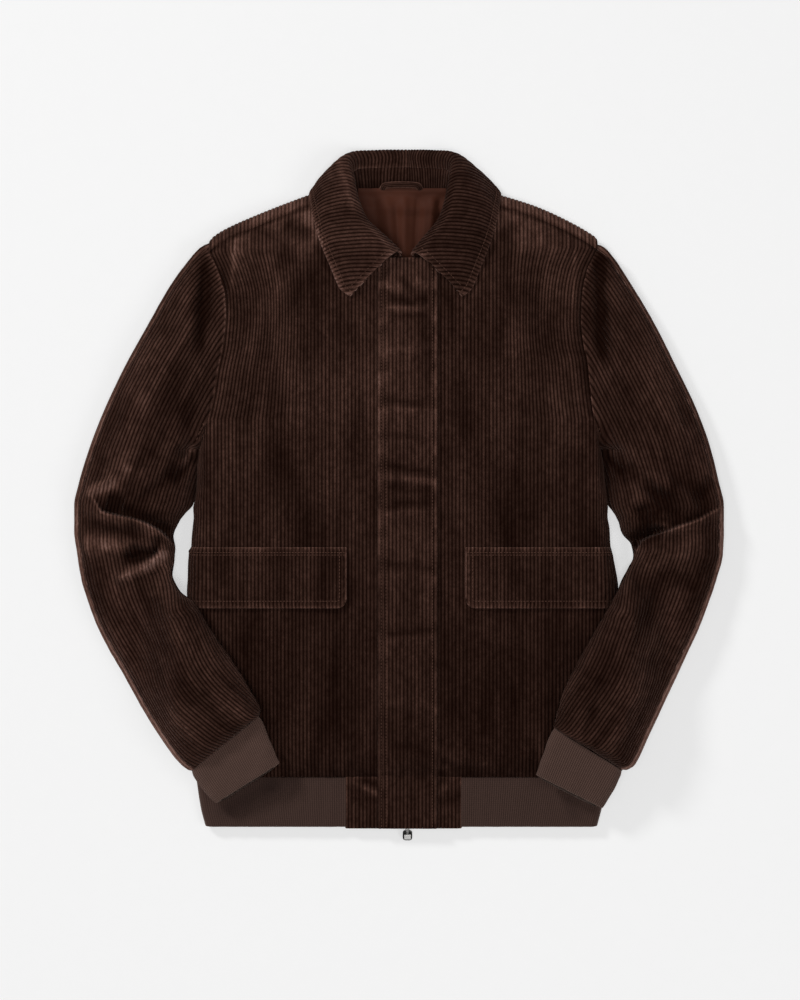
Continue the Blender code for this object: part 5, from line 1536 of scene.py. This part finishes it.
def make_placket():
    across = marks(-PLACKET_HALF, PLACKET_HALF)
    y = np.linspace(PLACKET_LOW_Y, PLACKET_TOP_Y, 141)
    grid_x, grid_y = np.meshgrid(across, y)
    level = body_rise("left", np.abs(grid_x), grid_y)
    level = np.where(grid_y < HEM_SEAM_Y, HEM_TOP_RISE, level)
    points = np.stack([grid_x, grid_y, level + LAY_GAP + PLACKET_WALL], axis=-1)
    edge = np.minimum(grid_x + PLACKET_HALF, PLACKET_HALF - grid_x)
    relief = cords(across) * smooth(edge / 1.2)
    for stitch, depth, width in zip(PLACKET_STITCHES, (0.8, 0.6, 0.9), (1.1, 1.1, 1.2)):
        relief = relief + seam_dip(np.abs(grid_x - stitch), depth, width)
    dented = folds(grid_x, grid_y, PLACKET_DENTS)
    relief = relief + dented + waves(grid_x, grid_y, 50.0, 0.4, 31)
    relief = relief + puckers(grid_x, grid_y, np.minimum(edge - 5.0, 40.0), 33)
    cloth = Cloth(points, facings(points), across, grid_y).lift(relief)
    STITCH_LINES["placket_stitches"] = [along_contour(cloth.points, cloth.facing, grid_x, x, 1)
                                        for x in PLACKET_STITCHES]
    # Painted light: lighter towards the collar, as on the fronts.
    tone = read(grid_y, PAINTED_LIGHT_BY_HEIGHT["y"], 0.28 + PAINTED_LIGHT_BY_HEIGHT["tone"])
    # Painted light and shade: darker in the dents, lighter on their ridges.
    cloth.nap = (1.0 + 0.28 * np.clip(dented, -2.2, 2.2)) * tone
    cloth.wear_and_painted_light(edge, 2.0, 0.45).drawn_in(np.minimum(np.abs(grid_x + 25.0), edge), grid_y)
    cloth.turn_in("left right bottom top", 3.4)
    return sew("front_placket", cloth, "corduroy", "placket")


for side in SIDES:
    make_flap(side)
make_placket()

# %% [markdown]
# ## Topstitching
# The placket, flaps and collar are topstitched in a thick brown thread that sinks into the pile.
# One stitch is modelled, a short rounded bar, and a row of stitches is that bar copied along its
# line.

# %% One stitch
STITCH = 2.6
STITCH_STEP = 3.5
STITCH_HALF = 0.42


def stitch_shape():
    """Corners and faces of one stitch that lies along X, in millimetres."""
    bpy.ops.mesh.primitive_uv_sphere_add(segments=6, ring_count=5, radius=1.0,
                                         rotation=(0, math.pi / 2, 0))
    bpy.ops.object.transform_apply(rotation=True)
    bar = bpy.context.object
    corners = np.array([v.co[:] for v in bar.data.vertices])
    corners[:, 0] = np.sign(corners[:, 0]) * np.abs(corners[:, 0]) ** 0.6
    faces = [tuple(face.vertices) for face in bar.data.polygons]
    bpy.data.objects.remove(bar)
    return corners * (STITCH / 2, STITCH_HALF, STITCH_HALF), faces


STITCH_CORNERS, STITCH_FACES = stitch_shape()


def topstitch(name, *rows):
    """Rows of stitches along lines of points, each with the way that the cloth faces there."""
    corners, faces = [], []
    for points, facing in rows:
        run = run_along(points)
        at = np.arange(STITCH_STEP / 2, run[-1] - STITCH_STEP / 2, STITCH_STEP)
        centre, up = between(at, run, points), unit(between(at, run, facing))
        ahead = unit(between(at + STITCH / 2, run, points) - centre)
        sideways = unit(np.cross(up, ahead))
        for c, a, b, u in zip(centre, ahead, sideways, up):
            first = len(corners)
            corners.extend(c + u * 0.1 + STITCH_CORNERS @ np.array([a, b, u]))
            faces.extend(tuple(i + first for i in face) for face in STITCH_FACES)
    mesh = bpy.data.meshes.new(name)
    mesh.from_pydata((np.array(corners) * MM).tolist(), [], faces)
    mesh.materials.append(FINISHES["thread"])
    mesh.shade_smooth()
    piece = placed(name, mesh)
    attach(piece, "jacket")
    print(f"{name}: {len(faces) // len(STITCH_FACES)} stitches")

# %% Rows of stitches
for name, rows in STITCH_LINES.items():
    topstitch(name, *rows)

# %% [markdown]
# ## Knit hem
# The hem is a band of rib knit round the body, drawn in a little. It stops at two corduroy tabs,
# one on each side of the zip.

# %% Hem
RIB_PITCH = 2.4
RIB_DEPTH = 0.75
RIB_POWER = 0.8
HEM_EDGE_Y = -349.0
TAB_EDGE = {"right": 64.6, "left": 56.2}
HEM_ROUND = 6.0
HEM_SHADES = lines((-192, -334, -140, -304, 11, 0.62), (-150, -310, -118, -300, 8, 0.25),
                   (178, -340, 166, -318, 7, 0.35), (150, -304, 130, -300, 6, 0.2))
HEM_LINES = 18
RIB_PHASES = (0.0, 0.15, 0.35, 0.5, 0.65, 0.85)


def rib_count(ribs):
    """Places at which a row of ribs is sampled, counted in ribs."""
    return np.array([k + p for k in range(ribs) for p in RIB_PHASES] + [ribs])


def ribs_relief(count, from_seam):
    """Height of the knit's ribs, sunk at the seam that the knit hangs from."""
    groove = 1 - np.sin(np.pi * (count - np.floor(count))) ** RIB_POWER
    return -RIB_DEPTH * groove * smooth(from_seam / 3.0) + seam_dip(from_seam, 1.0, 2.0)


def hem_line(y):
    """Outer face of the hem at one height, from the right tab round the back to the left tab."""
    pieces = []
    half = HEM_TOP_RISE / 2
    turn = np.linspace(0, math.pi, 13)[1:-1]
    for side in SIDES:
        width = float(half_width(side, np.array(y)))
        start = TAB_EDGE[side] + SEAM_GAP / 2
        end = width - HEM_ROUND
        widest = float(half_width(side, np.array(HEM_SEAM_Y))) - HEM_ROUND
        ribs = round((widest - start) / RIB_PITCH)
        count = rib_count(ribs)
        x = start + (end - start) * count / ribs
        run = [x, np.full_like(x, HEM_TOP_RISE), count]
        arc = [end + HEM_ROUND * np.sin(turn), half + half * np.cos(turn), ribs + turn * 2]
        low_count = np.arange(0, round(widest / RIB_PITCH) + 0.01, 0.25)
        low_x = end - end * low_count / low_count[-1]
        floor = [low_x, 0 * low_x, ribs + 8 + low_count]
        x, z, rib = (np.concatenate(three) for three in zip(run, arc, floor))
        if side == "left":
            x, z, rib = x[::-1][1:], z[::-1][1:], -rib[::-1][1:]
        pieces.append((SIDES[side] * x, z, rib))
    return [np.concatenate(pair) for pair in zip(*pieces)]


def make_hem():
    ys = np.linspace(HEM_SEAM_Y - 0.2, HEM_EDGE_Y + 0.4, HEM_LINES)
    lines_at = [hem_line(y) for y in ys]
    x, z, rib = (np.array(part) for part in zip(*lines_at))
    y = ys[:, None] + 0 * x
    points = np.stack([x, y, z], axis=-1)
    facing = turned(facings(points), 5, 40, 2)
    from_top = HEM_SEAM_Y - y
    front = z > HEM_TOP_RISE - 0.5
    ripples = waves(x, y * 0.3, 26.0, 0.5, 41) * front * smooth(from_top / 12)
    cloth = Cloth(points, facing, rib * RIB_PITCH, from_top)
    cloth.lift(ribs_relief(rib, from_top) + ripples)
    shade = folds(x, y, HEM_SHADES) * front
    # Painted shadows of the cuffs along HEM_SHADES, and painted shade just below the seam where the
    # fronts hang over.
    cloth.nap = 0.485 * (1.0 - shade) * (1.0 - 0.35 * np.exp(-(from_top / 3.5) ** 2))
    cloth.turn_in("top", 3.2, 1.6)
    return sew("knit_hem", cloth, "knit", "hem_rib", pitch=RIB_PITCH)


TAB_OVERHANG = 1.6
TAB_FOLDS = lines((30, -314, 60, -302, 3.5, 1.4), (32, -322, 56, -320, 4, -1.2),
                  (34, -336, 50, -338, 4, 0.8))

# Painted highlight on the right tab's fold, and painted shadow under the front's edge.
TAB_PAINTED_LIGHT = lines((31, -316, 46, -309, 3, 0.9), (28, -307, 46, -301, 4, -0.5))


def make_tab(side):
    across = marks(CENTRE_GAP, TAB_EDGE[side] - SEAM_GAP / 2)
    y = np.linspace(HEM_EDGE_Y - TAB_OVERHANG, HEM_SEAM_Y - 0.2, 19)
    grid_x, grid_y = np.meshgrid(across, y)
    points = np.stack([grid_x * SIDES[side], grid_y, HEM_TOP_RISE + 0 * grid_x], axis=-1)
    facing = facings(points)
    away = np.minimum(HEM_SEAM_Y - grid_y, across[-1] - grid_x)
    relief = cords(across) * smooth(away / 2.5) + seam_dip(away)
    bent_up = folds(grid_x, grid_y, TAB_FOLDS)
    relief = relief + bent_up + puckers(grid_x, grid_y, away, 61)
    cloth = Cloth(points, facing, across, grid_y).lift(relief)
    # Painted light and shade: lighter on the folds' ridges, darker in their troughs.
    cloth.nap = 0.74 * (1 + 0.3 * np.clip(bent_up, -1.5, 1.5))
    if side == "right":
        cloth.nap = cloth.nap + folds(grid_x, grid_y, TAB_PAINTED_LIGHT)
    cloth.wear_and_painted_light(away, 2.2, 0.6)
    cloth.turn_in("bottom top right", 2.8)
    return sew("hem_end_tab_" + side, cloth, "corduroy", "hem_tab_" + side)


make_hem()
for side in SIDES:
    make_tab(side)

# %% [markdown]
# ## Cuffs
# A cuff is a short tube of the same knit. It lies flat across the hem, and is drawn in a little
# towards its end.

# %% Cuffs
# Painted shade: the wearer's left cuff is darker, away from the light.
CUFF_SIDE_LIGHT = {"right": 1.04, "left": 0.91}
CUFF = {
    "right": table("outer_x outer_y inner_x inner_y thick", (-226.2, -291.3, -153.9, -232.6, 15),
                   (-218, -304.5, -147.5, -248, 14.5), (-209.5, -316, -141, -264, 14),
                   (-202, -323, -134, -279.8, 13)),
    "left": table("outer_x outer_y inner_x inner_y thick", (225.2, -291.4, 151.7, -245.1, 15),
                  (219, -304, 146, -260, 14.5), (212, -317.5, 140.3, -276, 14),
                  (205.2, -328.2, 134.9, -292.4, 13)),
}
CUFF_OUTLINE = 721
CUFF_RINGS = 15


def cuff_outline(side, at):
    """Closed section of a knit cuff lying across the hem."""
    ox, oy, ix, iy, thick = (float(value) for value in read_row(at, CUFF[side]).values())
    angle = np.linspace(0, 2 * math.pi, CUFF_OUTLINE)
    across = 0.5 - 0.5 * np.sign(np.cos(angle)) * np.abs(np.cos(angle)) ** 0.8
    x, y = ox + (ix - ox) * across, oy + (iy - oy) * across
    bow = 1.0 - np.abs(1.0 - 2.0 * across)
    half = thick / 2
    z = half + np.where(np.sin(angle) >= 0, 1, -1) * half * crown(bow / 0.3, 2.0)
    return np.stack([x, y, z + lay_rise(side, SIDES[side] * x, y)], axis=-1)


def make_cuff(side):
    ribs = round(float(run_along(cuff_outline(side, 0.0))[-1]) / RIB_PITCH)
    count = rib_count(ribs)
    rings = []
    for at in np.linspace(0, 3, CUFF_RINGS):
        path = cuff_outline(side, at)
        run = run_along(path)
        rings.append(between(count / ribs * run[-1], run, path))
    points = np.array(rings)
    facing = facings(points)
    facing[:, [0, -1]] = unit(facing[:, [0]] + facing[:, [-1]])
    facing = turned(facing, 7, len(count) // 4, 2)
    down = np.linalg.norm(points - points[:1], axis=-1)
    relief = ribs_relief(count, down) + waves(points[..., 0], points[..., 1], 22.0, 0.35, 51)
    cloth = Cloth(points, facing, count * RIB_PITCH, down).lift(relief)
    cloth.nap = cloth.nap * CUFF_SIDE_LIGHT[side]
    cloth.turn_in("top", 9.0, 1.6).turn_in("bottom", 2.0)
    return sew("knit_cuff_" + side, cloth, "knit", "cuff_" + side, pitch=RIB_PITCH)


for side in SIDES:
    make_cuff(side)

# %% [markdown]
# ## Lining and hanger loop
# The open neck shows the lining of the upper back, which hangs in soft folds, and the loop that the
# jacket is hung by.

# %% Lining and loop
CLOTH_WALL = 2.2
LINING_LOW_Y = 205.0
LINING_SEAM_Y = 318.0
LINING_TOP_Y = 322.6
LINING_FOLDS = lines((-3, 318, -4, 250, 5, 2.6), (12, 318, 9, 258, 4, -2.2),
                     (27, 316, 22, 255, 5, 2.4), (35, 314, 29, 262, 4, -2.2),
                     (-22, 316, -17, 262, 6, 2.0), (-36, 312, -30, 265, 5, -1.8),
                     (-12, 300, -9, 256, 3.5, -1.6), (19, 300, 15, 256, 3, 1.2))


def make_lining():
    shares = np.linspace(-1, 1, 121)
    ys = np.linspace(LINING_LOW_Y, LINING_TOP_Y, 48)
    low_half = 92.0 - 40.0 * smooth((ys - 255.0) / 50.0)
    x = shares * np.where(shares < 0, 1.0, ROLL_SHARE["left"]) * low_half[:, None]
    y = ys[:, None] + 0 * x
    floor = back_floor("right", np.abs(x), y) + CLOTH_WALL + 0.6
    puff = smooth((y - LINING_LOW_Y) / 30.0) * smooth((LINING_SEAM_Y - y) / 30.0)
    puff = 2.6 * (1 - shares ** 2) * puff
    wrinkle = folds(x, y, LINING_FOLDS) * smooth((LINING_SEAM_Y - y) / 10.0) + 0.2
    over_seam = 2.6 * smooth((y - LINING_SEAM_Y + 4.0) / 6.0)
    points = np.stack([x, y, floor + puff + 1.0 + over_seam + np.maximum(wrinkle, -1.6)], axis=-1)
    cloth = Cloth(points, facings(points), x, y)
    return sew("neck_lining", cloth, "lining", "back_lining", pitch=10.0)


LOOP_PATH = table("x y z", (-26.5, 320.4, 11.0), (-25.8, 322.6, 13.0), (-22.4, 325.4, 14.2),
                  (-6, 326.2, 14.8), (9.4, 325.4, 14.2), (12.8, 322.6, 13.0), (13.5, 320.4, 11.0))
LOOP_HALF = 2.6
LOOP_WALE = 1.8


def make_loop():
    """Narrow strip, doubled and stitched, that arches from the neck seam and back to it."""
    index = np.arange(len(LOOP_PATH["x"]), dtype=float)
    at = np.linspace(0, index[-1], 71)
    centre = np.stack([spline(at, index, LOOP_PATH[k]) for k in "xyz"], axis=-1)
    ahead = unit(np.gradient(centre, axis=0))
    sideways = unit(np.cross(ahead, (0.0, 0.0, 1.0)))
    inset = np.linspace(-LOOP_HALF, LOOP_HALF, 11)[:, None]
    points = centre[None] + sideways[None] * inset[..., None]
    run = run_along(centre)
    edge = LOOP_HALF - np.abs(inset) + 0 * run
    relief = cords(inset, LOOP_WALE, 0.5) * smooth(edge) - 0.7 * np.exp(-(edge / 0.9) ** 2)
    cloth = Cloth(points, facings(points), inset * WALE / LOOP_WALE, run).lift(relief)
    cloth.nap = cloth.nap * 0.85
    cloth.wear_and_painted_light(edge, 1.0, 0.4).turn_in("bottom top left right", 1.6, 0.8)
    return sew("neck_loop", cloth, "corduroy", "hanger_loop")


make_lining()
make_loop()

# %% [markdown]
# ## Floor and light
# The floor is a plain pale plane that is softly lit of itself, so that shadows on it stay faint.
# The light is large and soft, so that the nap of the cloth shows without hard shadows.

# %% Stage
bpy.ops.mesh.primitive_plane_add(size=8.0, location=(0, 0, -0.0006))
floor = bpy.context.object
floor.name = "pale_floor"
WHITE = rgb(1.0, 1.0, 1.0)
floor.data.materials.append(plain("pale_paper", rgb(0.385, 0.385, 0.385), rgb(0.395, 0.395, 0.395),
                                  60.0, Roughness=0.9, Specular_IOR_Level=0.1,
                                  Emission_Color=WHITE, Emission_Strength=0.5))

LIGHTS = table("x y z width power", (-3.4, 3.2, 3.0, 1.0, 176), (2.8, -1.6, 3.4, 2.4, 46),
               (-0.2, -0.6, 4.6, 2.2, 88))
for k, (x, y, z, width, power) in enumerate(zip(*LIGHTS.values())):
    lamp = bpy.data.lights.new(f"soft_box_{k}", "AREA")
    lamp.shape, lamp.size, lamp.energy = "DISK", width, power
    holder = placed(lamp.name, lamp)
    holder.location = (x, y, z)
    holder.rotation_euler = holder.location.to_track_quat("Z", "Y").to_euler()
world = bpy.data.worlds.new("soft_room")
bpy.context.scene.world = world
world.use_nodes = True
sky = world.node_tree.nodes["Background"].inputs
sky["Color"].default_value, sky["Strength"].default_value = WHITE, 0.2
print("stage ready")

# %% [markdown]
# ## Zip
# The metal pieces of the zip are built up from bars and boxes with rounded edges.

# %% Metal shapes
SHARP_ANGLE = 40.0


def selected(*pieces):
    """Selects only these pieces, the first of them active."""
    bpy.ops.object.select_all(action="DESELECT")
    for piece in pieces:
        piece.select_set(True)
    bpy.context.view_layer.objects.active = pieces[0]


def shade(piece):
    """Applies the piece's place to its mesh and shades it."""
    selected(piece)
    bpy.ops.object.transform_apply(location=True, rotation=True, scale=True)
    bpy.ops.object.shade_smooth_by_angle(angle=math.radians(SHARP_ANGLE))
    return piece


def bevelled(piece, width, segments=2):
    bevel = piece.modifiers.new("bevel", "BEVEL")
    bevel.width, bevel.segments = width * MM, segments
    bpy.context.view_layer.objects.active = piece
    bpy.ops.object.modifier_apply(modifier="bevel")
    return piece


def block(size, y, z):
    """Box on the middle line, not yet bevelled."""
    bpy.ops.mesh.primitive_cube_add(size=1.0, location=(0, y * MM, z * MM))
    made = bpy.context.object
    made.scale = [length * MM for length in size]
    bpy.ops.object.transform_apply(scale=True)
    return made


def joined(name, pieces):
    selected(*pieces)
    bpy.ops.object.join()
    pieces[0].name = name
    pieces[0].data.materials.clear()
    pieces[0].data.materials.append(FINISHES["metal"])
    return shade(pieces[0])


def bar(length, radius, middle, turn=(0, math.pi / 2, 0)):
    bpy.ops.mesh.primitive_cylinder_add(vertices=20, radius=radius * MM, depth=length * MM,
                                        rotation=turn, location=[c * MM for c in middle])
    return bevelled(bpy.context.object, min(radius * 0.35, 0.3))


print("metal shapes ready")

# %% [markdown]
# ## Slider and pull
# Only the slider's end and its pull show under the placket. The pull is a dark nickel tab with a
# light window in a recess, hung from the slider by a small bar.

# %% Slider and pull
SLIDER_Y = -347.5
PLATE_LEVELS = (7.8, 11.2)
PULL_AXIS = (0.0, -353.4, 8.2)
PULL_LENGTH = 12.4
PULL_DROP = 7.5
PULL_MIDDLE = 7.1
PULL_HALF_WIDTH = 5.0
PULL_HALF_LENGTH = 6.4


def make_slider():
    """Two plates joined by a post, with a bridge that holds the pull's bar."""
    plates = []
    for z in PLATE_LEVELS:
        plate = block((9.2, 9.4, 1.3), SLIDER_Y, z)
        bpy.ops.object.mode_set(mode="EDIT")
        bpy.ops.mesh.select_all(action="DESELECT")
        bpy.ops.object.mode_set(mode="OBJECT")
        for vertex in plate.data.vertices:
            vertex.select = vertex.co.y < 0
        bpy.ops.object.mode_set(mode="EDIT")
        bpy.ops.transform.resize(value=(0.68, 1, 1))
        bpy.ops.object.mode_set(mode="OBJECT")
        plates.append(bevelled(plate, 0.5, 3))
    post = bar(3.4, 1.5, (0, -344.6, 9.5), (0, 0, 0))
    bridge = bar(5.0, 0.55, (0, -351.4, 9.0))
    return joined("nickel_slider", plates + [post, bridge])


def make_pull():
    """Oblong tab with a recess, a light window and a lug on it, and the bar that it turns on."""
    bpy.ops.mesh.primitive_circle_add(vertices=32, radius=PULL_HALF_WIDTH * MM, fill_type="NGON",
                                      location=(0, -PULL_MIDDLE * MM, -0.7 * MM))
    tab = bpy.context.object
    bpy.ops.object.transform_apply(location=True)
    for vertex in tab.data.vertices:
        x, y = vertex.co.x / MM, vertex.co.y / MM + PULL_MIDDLE
        oblong = ((abs(x) / PULL_HALF_WIDTH) ** 4 + (abs(y) / PULL_HALF_LENGTH) ** 4) ** -0.25
        vertex.co.x, vertex.co.y = x * oblong * MM, (y * oblong - PULL_MIDDLE) * MM
    bpy.ops.object.mode_set(mode="EDIT")
    bpy.ops.mesh.select_all(action="SELECT")
    bpy.ops.mesh.extrude_region_move(TRANSFORM_OT_translate={"value": (0, 0, 1.4 * MM)})
    bpy.ops.mesh.inset(thickness=1.1 * MM)
    bpy.ops.mesh.extrude_region_move(TRANSFORM_OT_translate={"value": (0, 0, -0.6 * MM)})
    bpy.ops.mesh.select_all(action="SELECT")
    bpy.ops.mesh.normals_make_consistent(inside=False)
    bpy.ops.object.mode_set(mode="OBJECT")
    bevelled(tab, 0.16)
    window = bevelled(block((7.0, 6.2, 0.9), -9.2, 0.45), 0.4, 3)
    lug = bevelled(block((2.0, 3.6, 1.2), -2.7, 0.6), 0.4, 3)
    pin = bar(4.4, 0.7, (0, 0, 0))
    pull = joined("nickel_pull", [tab, pin, window, lug])
    for finish in ("dark_metal", "satin_metal"):
        pull.data.materials.append(FINISHES[finish])
    for face in pull.data.polygons:
        side, reach, height = abs(face.center.x) / MM, -face.center.y / MM, face.center.z / MM
        light = side < 3.6 and 6.0 < reach < 12.4 and height > 0.2
        face.material_index = 2 if light else int(reach > 1.2 and (reach > 4.7 or side > 1.1))
    pull.rotation_euler = (math.atan2(PULL_DROP, PULL_LENGTH), 0, 0)
    pull.location = [c * MM for c in PULL_AXIS]
    return shade(pull)


for piece, node, body in ((make_slider(), "zip_slider", "jacket"),
                          (make_pull(), "zip_pull", "pull_tab")):
    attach(piece, body)
    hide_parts(node)
    print(piece.name, len(piece.data.polygons), "faces")

# %% [markdown]
# ## Chain and tape
# The chain keeps its solid and takes the worn metal. The tape is a plain weave behind it.

# %% Zip chain and tape
KNIT_WALL = 2.8
TAPE_HALF = 14.0
TAPE_TOP_Y = 241.0

chain = frame["nodes"]["zip_chain"].data.materials
chain.clear()
chain.append(FINISHES["metal"])


def make_tape():
    x = np.linspace(-TAPE_HALF, TAPE_HALF, 15)
    y = np.linspace(HEM_EDGE_Y + 7, TAPE_TOP_Y, 120)
    grid_x, grid_y = np.meshgrid(x, y)
    level = np.where(grid_y < HEM_SEAM_Y, HEM_TOP_RISE, body_rise("left", np.abs(grid_x), grid_y))
    points = np.stack([grid_x, grid_y, level - KNIT_WALL - SEAM_GAP], axis=-1)
    return sew("zip_tape_cloth", Cloth(points, facings(points), grid_x, grid_y), "tape", "zip_tape")


make_tape()

# %% [markdown]
# ## Sizes and finish

# %% Finish
print("faces in all:", sum(MADE))
